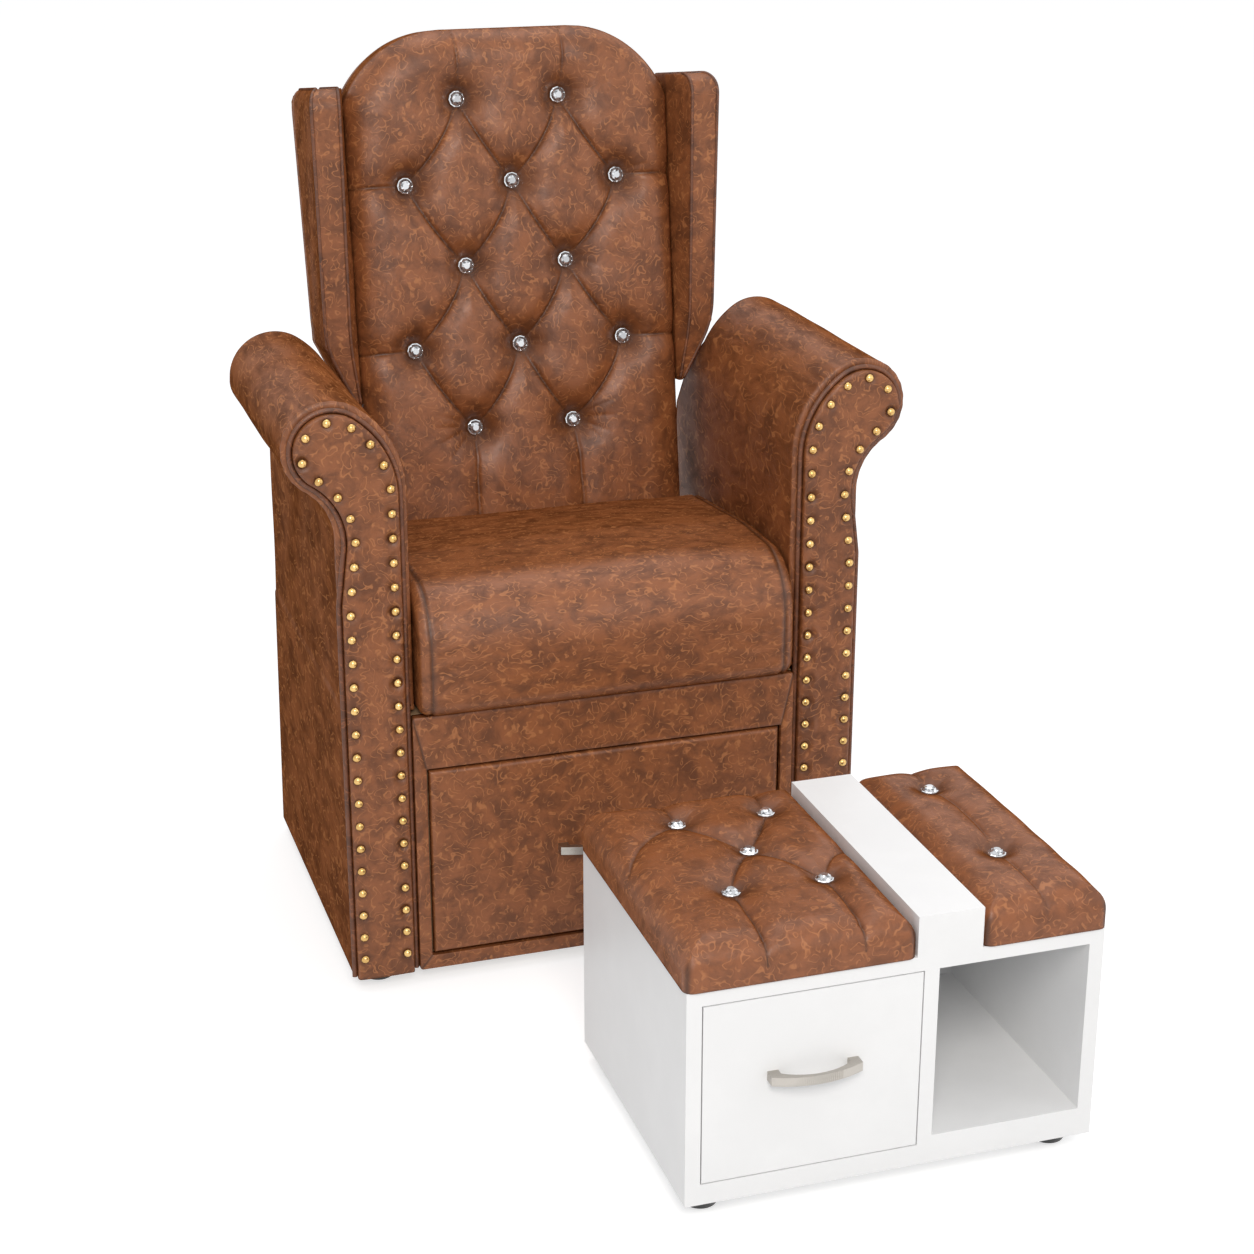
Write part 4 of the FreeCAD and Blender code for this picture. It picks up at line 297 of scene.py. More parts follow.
leather_group, start, end = new_group(
    "leather_pattern",
    [("Vector", "NodeSocketVector", None)],
    [("Clouds", "NodeSocketFloat"), ("Veins", "NodeSocketFloat"), ("Specks", "NodeSocketFloat"),
     ("Grain", "NodeSocketFloat")])
place = start.outputs["Vector"]
clouds = tree_node(leather_group, "ShaderNodeTexNoise", {"Vector": place, "Scale": 34.0, "Detail": 4.0,
                   "Roughness": 0.66, "Distortion": 0.5})
warp = tree_node(leather_group, "ShaderNodeTexNoise", {"Vector": place, "Scale": 42.0, "Detail": 2.0})
shift = tree_node(leather_group, "ShaderNodeVectorMath", {0: warp.outputs["Color"], 1: (0.5, 0.5, 0.5)},
                  operation="SUBTRACT")
bent = tree_node(leather_group, "ShaderNodeVectorMath", {0: shift.outputs[0], 1: (0.03, 0.03, 0.03),
                 2: place}, operation="MULTIPLY_ADD")
swirl = tree_node(leather_group, "ShaderNodeTexNoise", {"Vector": bent.outputs[0], "Scale": 58.0,
                  "Detail": 0.6, "Roughness": 0.5})
levels = maths(leather_group, "MULTIPLY", swirl.outputs["Fac"], 5.0)
off_level = maths(leather_group, "PINGPONG", levels, 0.5)
line = remap(leather_group, off_level, 0.15, 0.02)
breaks = tree_node(leather_group, "ShaderNodeTexNoise", {"Vector": place, "Scale": 75.0, "Detail": 2.0})
broken = maths(leather_group, "MULTIPLY", line, remap(leather_group, breaks.outputs["Fac"], 0.36, 0.54))
specks = tree_node(leather_group, "ShaderNodeTexNoise", {"Vector": place, "Scale": 240.0, "Detail": 2.0})
cells = tree_node(leather_group, "ShaderNodeTexVoronoi", {"Vector": bent.outputs[0], "Scale": 520.0},
                  feature="DISTANCE_TO_EDGE")
pebbles = remap(leather_group, cells.outputs["Distance"], 0.0, 0.22)
leather_group.links.new(remap(leather_group, clouds.outputs["Fac"], 0.30, 0.66), end.inputs["Clouds"])
leather_group.links.new(broken, end.inputs["Veins"])
leather_group.links.new(specks.outputs["Fac"], end.inputs["Specks"])
leather_group.links.new(pebbles, end.inputs["Grain"])
print("leather pattern group:", len(leather_group.nodes), "nodes")

# %% Leather materials
def mix_colour(tree, share, first, second):
    """Blend two colours, each a socket or a written colour, by a share."""
    made = tree_node(tree, "ShaderNodeMix", data_type="RGBA")
    for socket, value in ((made.inputs[0], share), (made.inputs[6], first), (made.inputs[7], second)):
        if isinstance(value, bpy.types.NodeSocket):
            tree.links.new(value, socket)
        else:
            socket.default_value = value
    return made.outputs[2]


def leather(name, base, dark, light, stretch=(1, 1, 1)):
    """Leather in three browns; a stretch under 1 draws its pattern out along that axis.

    Seen edge-on it turns duller and its shine fades, as fine pores do, so that it picks up no pale haze.
    """
    material, tree, output = blank_material(name)
    spot = tree_node(tree, "ShaderNodeTexCoord").outputs["Object"]
    spot = tree_node(tree, "ShaderNodeMapping", {"Vector": spot, "Scale": stretch}).outputs[0]
    pattern = tree_node(tree, "ShaderNodeGroup", node_tree=leather_group)
    tree.links.new(spot, pattern.inputs["Vector"])
    # Painted shade: the crease attribute pulls the colour towards a very dark brown in folds, pits, seams
    # and round nail heads.
    crease = tree_node(tree, "ShaderNodeAttribute", attribute_name="crease").outputs["Fac"]
    cloudy = mix_colour(tree, pattern.outputs["Clouds"], (*dark, 1), (*base, 1))
    veined = mix_colour(tree, maths(tree, "MULTIPLY", pattern.outputs["Veins"], 0.75), cloudy, (*light, 1))
    painted_shade_colour = tuple(part * 0.35 for part in dark) + (1,)
    colour = mix_colour(tree, maths(tree, "MULTIPLY", crease, 0.92), veined, painted_shade_colour)
    facing = tree_node(tree, "ShaderNodeLayerWeight", {"Blend": 0.5}).outputs["Facing"]
    duller = maths(tree, "MULTIPLY_ADD", remap(tree, facing, 0.60, 0.90), 0.50, 0.47)
    roughness = maths(tree, "MULTIPLY_ADD", pattern.outputs["Clouds"], -0.1, duller)
    height = maths(tree, "MULTIPLY_ADD", pattern.outputs["Grain"], 0.5, pattern.outputs["Specks"])
    bump = tree_node(tree, "ShaderNodeBump", {"Height": height, "Strength": 0.22, "Distance": 0.0007})
    shine = maths(tree, "MULTIPLY", remap(tree, facing, 0.90, 0.30), 0.45)
    surface = tree_node(tree, "ShaderNodeBsdfPrincipled", {"Base Color": colour, "Roughness": roughness,
                        "Normal": bump.outputs[0], "Specular IOR Level": shine})
    tree.links.new(surface.outputs[0], output.inputs["Surface"])
    return material


BROWN, DARK, VEIN = (0.262, 0.086, 0.028), (0.125, 0.039, 0.012), (0.42, 0.160, 0.055)
back_leather = leather("back_leather", BROWN, DARK, VEIN)
seat_leather = leather("seat_leather", BROWN, DARK, VEIN, stretch=(0.8, 1.3, 1.3))
arm_leather = leather("arm_leather", BROWN, DARK, VEIN, stretch=(1.5, 0.45, 0.75))
panel_leather = leather("panel_leather", BROWN, DARK, VEIN)
stool_leather = leather("stool_leather", (0.262, 0.086, 0.029), (0.150, 0.049, 0.017),
                        (0.41, 0.155, 0.055))
cord_leather = leather("cord_leather", (0.17, 0.060, 0.027), (0.085, 0.032, 0.016), (0.28, 0.10, 0.04))
print("six leathers")

# %% [markdown]
# ## Hard finishes
#
# White boards are foil-wrapped: nearly plain, with a faint long grain and a soft shine. The handles are
# brushed nickel, whose fine scratches run along the band. Nails are brass with a darker tone where
# fingers never polish them. The feet are moulded black. Hidden boards are plywood.

# %% A group for fine scratches and wear
scratch_group, start, end = new_group(
    "fine_scratches", [("Vector", "NodeSocketVector", None), ("Scale", "NodeSocketFloat", 300.0)],
    [("Scratches", "NodeSocketFloat"), ("Dust", "NodeSocketFloat")])
lines = tree_node(scratch_group, "ShaderNodeTexNoise", {"Vector": start.outputs["Vector"],
                  "Scale": start.outputs["Scale"], "Detail": 3.0, "Roughness": 0.7})
dust = tree_node(scratch_group, "ShaderNodeTexNoise", {"Vector": start.outputs["Vector"], "Scale": 9.0,
                 "Detail": 5.0, "Roughness": 0.6})
scratch_group.links.new(lines.outputs["Fac"], end.inputs["Scratches"])
scratch_group.links.new(remap(scratch_group, dust.outputs["Fac"], 0.35, 0.7), end.inputs["Dust"])


def hard_finish(name, light, dark, stretch, scale, rough, rough_span, depth, metallic=0.0):
    """A hard surface: two tones by dust, roughness by scratches, and a shallow bump.

    The dark tone shows where there is least dust; rough is the middle roughness and rough_span its range.
    """
    material, tree, output = blank_material(name)
    spot = tree_node(tree, "ShaderNodeTexCoord").outputs["Object"]
    spot = tree_node(tree, "ShaderNodeMapping", {"Vector": spot, "Scale": stretch}).outputs[0]
    marks = tree_node(tree, "ShaderNodeGroup", node_tree=scratch_group)
    tree.links.new(spot, marks.inputs["Vector"])
    marks.inputs["Scale"].default_value = scale
    colour = mix_colour(tree, marks.outputs["Dust"], (*dark, 1), (*light, 1))
    roughness = maths(tree, "MULTIPLY_ADD", marks.outputs["Scratches"], rough_span, rough - rough_span / 2)
    bump = tree_node(tree, "ShaderNodeBump", {"Height": marks.outputs["Scratches"], "Strength": 0.3,
                     "Distance": depth})
    surface = tree_node(tree, "ShaderNodeBsdfPrincipled", {"Base Color": colour, "Roughness": roughness,
                        "Normal": bump.outputs[0], "Metallic": metallic})
    tree.links.new(surface.outputs[0], output.inputs["Surface"])
    return material


white_board = hard_finish("white_board", (0.86, 0.86, 0.86), (0.83, 0.83, 0.83), (1, 1, 1), 260,
                          0.38, 0.12, 0.00012)
nickel = hard_finish("nickel", (0.50, 0.47, 0.43), (0.38, 0.36, 0.33), (0.15, 4, 4), 420,
                     0.30, 0.18, 0.00006, metallic=1.0)
brass = hard_finish("brass", (0.83, 0.56, 0.22), (0.62, 0.38, 0.13), (1, 1, 1), 500,
                    0.24, 0.16, 0.00015, metallic=1.0)
black_foot = hard_finish("black_foot", (0.018, 0.018, 0.019), (0.010, 0.010, 0.010), (1, 1, 1), 600,
                         0.42, 0.15, 0.0001)
steel = hard_finish("steel", (0.60, 0.61, 0.62), (0.45, 0.46, 0.47), (3, 0.3, 3), 350,
                    0.34, 0.2, 0.00006, metallic=1.0)
silver = hard_finish("silver", (0.86, 0.87, 0.88), (0.70, 0.71, 0.73), (1, 1, 1), 600,
                     0.14, 0.08, 0.00004, metallic=1.0)
plywood = hard_finish("plywood", (0.50, 0.33, 0.19), (0.34, 0.21, 0.11), (6, 0.6, 1.2), 60,
                      0.62, 0.15, 0.0004)
print("hard finishes ready")

# %% Dress the engineering model's own pieces
finish_of = {"wood": plywood, "white_laminate": white_board, "brass": brass, "crystal": silver,
             "nickel": nickel, "black_rubber": black_foot, "steel": steel, "leather": panel_leather}
slot_of = {entry["node"]: entry["material_slot"] for entry in frame["record"]["subparts"]}
for label, part in frame["nodes"].items():
    chosen = finish_of[slot_of[label]]
    if len(part.material_slots) == 0:
        part.data.materials.append(chosen)
    for holder in part.material_slots:
        holder.material = chosen
print(len(slot_of), "nodes dressed")

# %% [markdown]
# ## The tufted back cushion
#
# Deep buttoning pulls the leather down at twelve points. Between neighbouring buttons the spare
# leather folds into a crease, so the surface rises in soft diamonds. The cushion is therefore one
# height over its arched outline: a crown that falls to the rim, minus a narrow and a broad valley along
# every crease, minus a round pit at every button, with a few short folds that run out of each pit.
# All of it leans back with the backrest, so it is worked out upright and turned at the end.

# %% The backrest's own plane
LEAN = math.radians(7.84)
BUTTON_PLANE = FRONT + 0.309


def lean(points):
    """Turn upright points (across, deep, up) back by the lean and set them on the button plane."""
    x, deep, up = points[..., 0], points[..., 1], points[..., 2]
    return np.stack([x, BUTTON_PLANE + deep * math.cos(LEAN) + up * math.sin(LEAN),
                     up * math.cos(LEAN) - deep * math.sin(LEAN)], axis=-1)


def eased(count, ends=0.35):
    """Numbers from -1 to 1 that crowd towards both ends: t * (1 + ends * (1 - t * t))."""
    t = np.linspace(-1, 1, count)
    return t * (1 + ends * (1 - t * t))

# %% Distances to creases
def fold_path(start, end, bow):
    """Nine points of a crease that bends aside by bow between two buttons."""
    start, end = np.array(start, float), np.array(end, float)
    middle = (start + end) / 2 + np.array(bow, float)
    t = np.linspace(0, 1, 9)[:, None]
    return (1 - t) ** 2 * start + 2 * t * (1 - t) * middle + t ** 2 * end


def nearest(across, up, path):
    """Distance from each point to a path, how far along it from 0 to 1, and on which side."""
    best = np.full(across.shape, 9.0)
    share = np.zeros(across.shape)
    side = np.zeros(across.shape)
    runs = len(path) - 1
    for number in range(runs):
        a, b = path[number], path[number + 1]
        way = b - a
        length = np.hypot(*way)
        t = ((across - a[0]) * way[0] + (up - a[1]) * way[1]) / length ** 2
        t = np.clip(t, 0, 1)
        dx, dy = across - a[0] - t * way[0], up - a[1] - t * way[1]
        far = np.hypot(dx, dy)
        closer = far < best
        best = np.where(closer, far, best)
        share = np.where(closer, (number + t) / runs, share)
        side = np.where(closer, (way[0] * dy - way[1] * dx) / length, side)
    return best, share, side


def tufted(across, up, creases, pits, pit_radius=0.0118, pit_width=0.017, soft=0.016):
    """How far deep buttoning pulls each point in, as shares of the full depth, and the painted shade of
    its folds and pits.

    Each crease is (path, depth, width, fade): its valley is exp(-distance / width) plus a broad
    exp(-(distance / soft) ** 2), and fade lets it die away towards its end.
    """
    narrow, broad, dark = np.zeros(across.shape), np.zeros(across.shape), np.zeros(across.shape)
    for path, depth, width, fade in creases:
        far, share, side = nearest(across, up, path)
        keep = depth * (1 - fade * share)
        lap = np.where(side > 0, far, far * 1.5)
        narrow = np.maximum(narrow, keep * np.exp(-lap / width))
        broad = np.maximum(broad, keep * np.exp(-(far / soft) ** 2))
        # Painted shade along each crease.
        dark = np.maximum(dark, keep * np.exp(-(far / (width * 0.75)) ** 1.3))
    pit = np.zeros(across.shape)
    for x, z in pits:
        far = np.hypot(across - x, up - z)
        beyond = np.maximum(far - pit_radius, 0)
        pit = np.maximum(pit, np.exp(-(beyond / pit_width) ** 1.1))
        # Painted shade round each button pit.
        dark = np.maximum(dark, 0.80 * np.exp(-(beyond / 0.014)))
    return narrow, broad, pit, dark

# %% Outline, rim and creases of the back cushion
SIDE, LOW, HIGH, ARCH, FLAT, CORNER = 0.231, 0.444, 1.204, 0.149, 0.090, 0.020
ARCH_Z = HIGH - ARCH


def half_width(up):
    """Half the cushion's width at a height: straight sides, rounded foot, arched shoulders."""
    shoulder = FLAT + np.sqrt(np.maximum(ARCH ** 2 - np.maximum(up - ARCH_Z, 0) ** 2, 0))
    foot = SIDE - CORNER + np.sqrt(np.maximum(CORNER ** 2 - np.maximum(LOW + CORNER - up, 0) ** 2, 0))
    return np.minimum(np.minimum(SIDE, shoulder), foot)


def rim_distance(across, up):
    """Distance from a point inside the cushion's outline to that outline."""
    straight = np.minimum(SIDE - abs(across), np.minimum(up - LOW, HIGH - up))
    out_x, out_z = abs(across) - FLAT, up - ARCH_Z
    arched = ARCH - np.hypot(out_x, out_z)
    in_shoulder = (out_x > 0) & (out_z > 0)
    return np.maximum(np.where(in_shoulder, np.minimum(arched, straight), straight), 0)


BUTTON_ROWS = []
for number in range(5):
    level = 1.1106 - 0.1135 * number
    places_across = (-0.0722, 0.0722) if number % 2 == 0 else (-0.1517, 0, 0.1517)
    BUTTON_ROWS.append([(x, level) for x in places_across])
back_pits = [spot for row in BUTTON_ROWS for spot in row]

back_creases = []
for upper, lower in zip(BUTTON_ROWS, BUTTON_ROWS[1:]):
    for x, z in upper:
        for x2, z2 in lower:
            if abs(x2 - x) < 0.1:
                bow = ((x - x2) * 0.16, (z2 - z) * 0.05)
                back_creases.append((fold_path((x, z), (x2, z2), bow), 1.0, 0.0022, 0.0))
for x, z in BUTTON_ROWS[0]:
    back_creases.append((fold_path((x, z), (x * 1.06, HIGH), (0.004, 0)), 0.80, 0.0020, 0.45))
for x, z in BUTTON_ROWS[-1]:
    back_creases.append((fold_path((x, z), (x * 1.04, LOW), (x * 0.1, 0)), 0.80, 0.0020, 0.3))
for row in BUTTON_ROWS[1::2]:
    for x, z in (row[0], row[-1]):
        side_path = fold_path((x, z), (math.copysign(SIDE, x), z - 0.002), (0, 0.003))
        back_creases.append((side_path, 0.9, 0.0020, 0.1))
chance = np.random.default_rng(7)
for x, z in back_pits:
    outward = -1.0 if x < 0 else 1.0
    lowest = (x, z) in BUTTON_ROWS[-1]
    for tilt in (25, 5, -18, -38) if lowest else (12, -14):
        angle = math.radians(tilt + chance.uniform(-6, 6))
        reach = (0.062 if lowest else 0.042) * chance.uniform(0.8, 1.15)
        tip = (x + outward * reach * math.cos(angle), z + reach * math.sin(angle))
        back_creases.append((fold_path((x, z), tip, (0, 0.004)), 0.50, 0.0020, 1.0))
print(len(back_creases), "creases", len(back_pits), "pits")

# %% The cushion itself
def rim_fall(distance, reach):
    """A quarter ellipse: 1 at the rim, 0 once the distance passes reach."""
    share = np.clip(distance / reach, 0, 1)
    return 1 - np.sqrt(np.maximum(1 - (1 - share) ** 2, 0))


def soft_lumps(a, b, size, seed):
    """A gentle, seeded unevenness between about -1 and 1: a sum of nine slow waves."""
    draw = np.random.default_rng(seed)
    total = np.zeros(np.broadcast(a, b).shape)
    for _ in range(9):
        angle, phase = draw.uniform(0, 2 * math.pi, 2)
        pace = 2 * math.pi / (size * draw.uniform(0.6, 1.8))
        total = total + np.sin((a * math.cos(angle) + b * math.sin(angle)) * pace + phase)
    return total / 4.5


CROWN, RIM_DROP, RIM_REACH, CUSHION_REAR = -0.0275, 0.0355, 0.052, 0.058
BROAD_FOLD, NARROW_FOLD, LUMP = 0.0075, 0.0085, 0.0012
up = (LOW + HIGH) / 2 + (HIGH - LOW) / 2 * eased(391, 0.15)[:, None]
across = half_width(up) * eased(235, 0.15)[None, :]
up = np.broadcast_to(up, across.shape)
narrow, broad, pit, dark = tufted(across, up, back_creases, back_pits)
rim = rim_distance(across, up)
inner = np.clip(rim / 0.03, 0, 1)
front = CROWN + RIM_DROP * rim_fall(rim, RIM_REACH) + LUMP * soft_lumps(across, up, 0.12, 3)
front = front + BROAD_FOLD * broad + NARROW_FOLD * narrow * (0.35 + 0.65 * inner)
front = front * (1 - pit) + 0.0006 * pit
lip = lean(np.stack([across, front, up], axis=-1))
rear = lean(np.stack([across * 0.992, np.full(across.shape, CUSHION_REAR), up], axis=-1))
# The last argument is painted shade: darker along the creases and round the button pits.
make_piece("tufted_back", closed_pad(lip, rear, rings=6), "backrest", back_leather,
           ["back_cushion"], dark)

# %% [markdown]
# ## Crystal buttons
#
# Each button is a foil-backed cut crystal in a thin metal cup. A cut stone is a stack of facet rings:
# a table on top, star and kite facets round it, and a girdle. Every facet mirrors another part of the
# room, which a plain white studio can't show, so each facet carries its own grey, a painted reflection,
# in an attribute.

# %% Cut stones
def cut_stone(radius, height, sides=10):
    """Points and faces of one button, flat side down at 0: a cup, a girdle and three rings of facets.

    Ring k has its points turned by half a step against ring k - 1, so that the bands split into kites.
    """
    rings = [(1.0, 0.0, 0), (1.04, 0.14, 0), (1.04, 0.26, 0), (0.93, 0.34, 0), (0.90, 0.30, 0),
             (0.86, 0.46, 1), (0.66, 0.78, 0), (0.40, 1.0, 1)]
    sizes, levels, turns = np.array(rings).T[:, :, None]
    angle = 2 * math.pi * (np.arange(sides)[None, :] + 0.5 * turns) / sides
    size, level = sizes * radius, np.repeat(levels, sides, axis=1) * height
    points = np.stack([size * np.cos(angle), size * np.sin(angle), level], axis=-1).reshape(-1, 3)
    # Each face gets a grey tone: a painted reflection standing for the part of the room it would mirror.
    faces, tone = [list(range(sides))[::-1]], [0.8]
    for ring in range(len(rings) - 1):
        a, b = ring * sides, (ring + 1) * sides
        turned = rings[ring + 1][2] - rings[ring][2]
        for k in range(sides):
            n = (k + 1) % sides
            if turned == 0:
                faces.append([a + k, a + n, b + n, b + k])
                tone.append(0.9)
            elif turned > 0:
                faces += [[a + k, a + n, b + k], [a + n, b + n, b + k]]
                tone += [0.2 + 0.8 * ((k * 7 + ring) % 5) / 4, 0.25 + 0.75 * ((k * 3 + ring) % 4) / 3]
            else:
                faces += [[a + k, b + n, b + k], [a + k, a + n, b + n]]
                tone += [0.15 + 0.85 * ((k * 3 + 1) % 4) / 3, 0.3 + 0.7 * ((k * 5 + 2) % 5) / 4]
    top = (len(rings) - 1) * sides
    faces.append(list(range(top, top + sides)))
    tone.append(0.62)
    return points, faces, tone


def stone_set(name, places, outward, body, replaced):
    """Copies of one button at many places, each turned a little, as one mesh."""
    base, faces, tone = cut_stone(0.0108, 0.0072)
    outward = np.array(outward, float)
    side = np.array([1.0, 0, 0])
    third = np.cross(outward, side)
    points, rows, greys = [], [], []
    for number, place in enumerate(places):
        spin = 0.9 * number
        turned = np.stack([base[:, 0] * math.cos(spin) - base[:, 1] * math.sin(spin),
                           base[:, 0] * math.sin(spin) + base[:, 1] * math.cos(spin), base[:, 2]], axis=-1)
        across_stone = turned[:, :1] * side + turned[:, 1:2] * third
        points.append(np.array(place) + across_stone + turned[:, 2:] * outward)
        rows += [[corner + number * len(base) for corner in face] for face in faces]
        greys += tone[number % 3:] + tone[:number % 3]
    piece = make_piece(name, (np.concatenate(points), rows), body, crystal, replaced)
    piece.data.shade_flat()
    store = piece.data.attributes.new("facet", "FLOAT", "FACE")
    store.data.foreach_set("value", np.array(greys, dtype=np.float32))


# Painted reflection: each facet's grey sets the crystal's colour, from near black to near white.
crystal, tree, output = blank_material("crystal")
grey = tree_node(tree, "ShaderNodeAttribute", attribute_name="facet").outputs["Fac"]
tone = mix_colour(tree, grey, (0.02, 0.022, 0.026, 1), (0.85, 0.87, 0.90, 1))
glint = maths(tree, "MULTIPLY_ADD", grey, -0.08, 0.14)
surface = tree_node(tree, "ShaderNodeBsdfPrincipled", {"Base Color": tone, "Roughness": glint,
                    "Metallic": 0.85, "Coat Weight": 1.0, "Coat Roughness": 0.02})
tree.links.new(surface.outputs[0], output.inputs["Surface"])
out = lean(np.array([0, -1.0, 0])) - lean(np.array([0, 0.0, 0]))
spots = lean(np.array([(x, 0.0, z) for x, z in back_pits]))
stone_set("back_crystals", spots, out, "backrest", ["back_buttons"])

# %% [markdown]
# ## Wings, ledge and rear cover
#
# Each wing is a board in a leather sleeve: a narrow tip beside the arm, a front band between two piped
# seams, an inner face that flares out beside the cushion, and a flat outer side behind a small lip.
# It is a stack of rounded nine-cornered loops whose corners follow the wing's outline upwards. The
# piping is a small circle carried along the two seams.

# %% Rounded loops and carried circles
def rounded_loop(corners, radii, run, arc=6):
    """A closed loop through corners whose turns are arcs, with run points on each straight.

    An arc starts and ends radius * tan(turn / 2) from its corner, but at most 0.48 of a side.
    """
    corners = np.array(corners, float)
    sides = np.roll(corners, -1, axis=0) - corners
    lengths = np.linalg.norm(sides, axis=1)
    ways = sides / lengths[:, None]
    turns = np.arccos(np.clip((np.roll(ways, 1, axis=0) * ways).sum(axis=1), -1, 1))
    shorter = np.minimum(np.roll(lengths, 1), lengths)
    trims = np.minimum(np.array(radii) * np.tan(turns / 2), 0.48 * shorter)
    t = np.linspace(0, 1, arc)[:, None]
    s = (np.arange(run) + 1)[:, None] / (run + 1)
    points = []
    for number, here in enumerate(corners):
        following = (number + 1) % len(corners)
        weight = math.cos(turns[number] / 2)
        start = here - ways[number - 1] * trims[number]
        end = here + ways[number] * trims[number]
        next_start = corners[following] - ways[number] * trims[following]
        bend = (1 - t) ** 2 * start + 2 * t * (1 - t) * weight * here + t ** 2 * end
        points.append(bend / ((1 - t) ** 2 + 2 * t * (1 - t) * weight + t ** 2))
        points.append(end * (1 - s) + next_start * s)
    return np.concatenate(points)


def run_lengths(line):
    """How far along a line each of its points lies."""
    return np.concatenate([[0], np.cumsum(np.linalg.norm(np.diff(line, axis=0), axis=1))])


def evenly(line, count):
    """The same line with a fixed number of points at even distances, by linear interpolation."""
    line = np.array(line, float)
    length = run_lengths(line)
    even = np.linspace(0, length[-1], count)
    return np.stack([np.interp(even, length, line[:, axis]) for axis in range(line.shape[1])], axis=-1)


def smooth_line(points, step):
    """The same path with points every step, measured along it."""
    return evenly(points, max(int(run_lengths(np.array(points, float))[-1] / step), 2))


def rounded_line(points, radius, step):
    """An open path whose corners are rounded, resampled evenly."""
    points = [np.array(point, float) for point in points]
    bent = [points[0]]
    for before, here, after in zip(points, points[1:], points[2:]):
        into, out_of = here - before, after - here
        trim = min(radius, 0.45 * np.linalg.norm(into), 0.45 * np.linalg.norm(out_of))
        start = here - into / np.linalg.norm(into) * trim
        end = here + out_of / np.linalg.norm(out_of) * trim
        for t in np.linspace(0, 1, 9):
            bent.append((1 - t) ** 2 * start + 2 * t * (1 - t) * here + t ** 2 * end)
    bent.append(points[-1])
    return smooth_line(bent, step)


def carried(path, radius, sides=12):
    """Rows of circles carried along a path, each square to the run, with the least twist between rows."""
    along = np.gradient(path, axis=0)
    along = along / np.linalg.norm(along, axis=1, keepdims=True)
    side = np.cross(along[0], (0.3, 0.5, 0.8))
    rows = []
    angle = 2 * math.pi * np.arange(sides) / sides
    for spot, way in zip(path, along):
        side = side - way * (side @ way)
        side = side / np.linalg.norm(side)
        other = np.cross(way, side)
        rows.append(spot + radius * (np.cos(angle)[:, None] * side + np.sin(angle)[:, None] * other))
    return np.array(rows)

# %% The wings' loops
WING_LOW, WING_WAIST, WING_HIGH, WING_ROUND, WING_DRAWN = 0.700, 0.785, 1.132, 0.026, 0.014
TIP_OUT, WAIST_OUT, HIGH_OUT, HIGH_OUT_Z = 0.239, 0.281, 0.287, 1.120
TIP_REACH, WAIST_REACH, HIGH_REACH = 0.008, 0.025, 0.066
INNER, REAR, BAND = 0.2319, 0.082, 0.039


def wing_outer(up):
    """The wing's outer side at a height: in quickly at the tip, nearly upright, drawn in at the top."""
    upper = WAIST_OUT + (HIGH_OUT - WAIST_OUT) * (up - WING_WAIST) / (HIGH_OUT_Z - WING_WAIST)
    tip = TIP_OUT + (WAIST_OUT - TIP_OUT) * (up - WING_LOW) / (WING_WAIST - WING_LOW)
    over = np.clip((up - WING_HIGH + WING_ROUND) / WING_ROUND, 0, 1)
    upper = upper - WING_DRAWN * (1 - np.sqrt(np.maximum(1 - over ** 2, 0)))
    return np.where(up < WING_WAIST, tip, upper)


def wing_reach(up):
    """How far the wing stands forward: more with height, then rounded off at the top."""
    straight = WING_HIGH - WING_ROUND
    upper = WAIST_REACH + (HIGH_REACH - WAIST_REACH) * (up - WING_WAIST) / (straight - WING_WAIST)
    tip = TIP_REACH + (WAIST_REACH - TIP_REACH) * (up - WING_LOW) / (WING_WAIST - WING_LOW)
    over = np.clip((up - straight) / WING_ROUND, 0, 1)
    rounded = HIGH_REACH - WING_ROUND * (1 - np.sqrt(np.maximum(1 - over ** 2, 0)))
    return np.where(up < WING_WAIST, tip, np.where(up > straight, rounded, upper))


def wing_loop(up, shrink=0.0):
    """One loop round the wing at a height: inner side, flare, front band, lip, recessed outer side."""
    outer, reach = float(wing_outer(np.array(up))) - shrink, float(wing_reach(np.array(up))) - shrink
    band = min(BAND, (outer - INNER) * 0.7)
    inner, rear = INNER + shrink, REAR - 0.0008 - shrink
    lip = min(0.0016, max(outer - INNER, 0) * 0.02)
    corners = [(inner, rear), (inner, -0.001), (outer - band, -reach), (outer, -reach),
               (outer, 0.014 - reach), (outer - lip, 0.017 - reach), (outer - lip, rear - 0.010),
               (outer, rear - 0.006), (outer, rear)]
    flat = rounded_loop(corners, [0.003, 0.006, 0.004, 0.004, 0.001, 0.001, 0.001, 0.001, 0.003], 7)
    return np.column_stack([flat[:, 0], flat[:, 1], np.full(len(flat), up)])


straight_up = np.concatenate([np.linspace(WING_LOW + 0.0012, WING_WAIST, 24),
                              np.linspace(WING_WAIST, WING_HIGH - WING_ROUND, 60)[1:]])
rounded_up = WING_HIGH - WING_ROUND + WING_ROUND * np.sin(np.linspace(0, 1.46, 10))[1:]
loops = [wing_loop(WING_LOW + 0.0002, 0.0018), wing_loop(WING_LOW + 0.0005, 0.0008)]
loops += [wing_loop(up) for up in np.concatenate([straight_up, rounded_up])]
loops += [wing_loop(WING_HIGH - 0.0004, 0.0015), wing_loop(WING_HIGH - 0.0001, 0.0040)]
wing_rows = np.array(loops)
wave = 0.0010 * soft_lumps(wing_rows[..., 1] * 2, wing_rows[..., 2], 0.15, 11)
wing_rows[..., 0] += wave * np.clip((wing_rows[..., 0] - INNER) / 0.02, 0, 1) - np.abs(wave)
for side, rows in both_sides(lean(wing_rows)):
    make_piece(f"padded_wing_{side}", tube(rows), "backrest", panel_leather, [f"wing_{side}"])

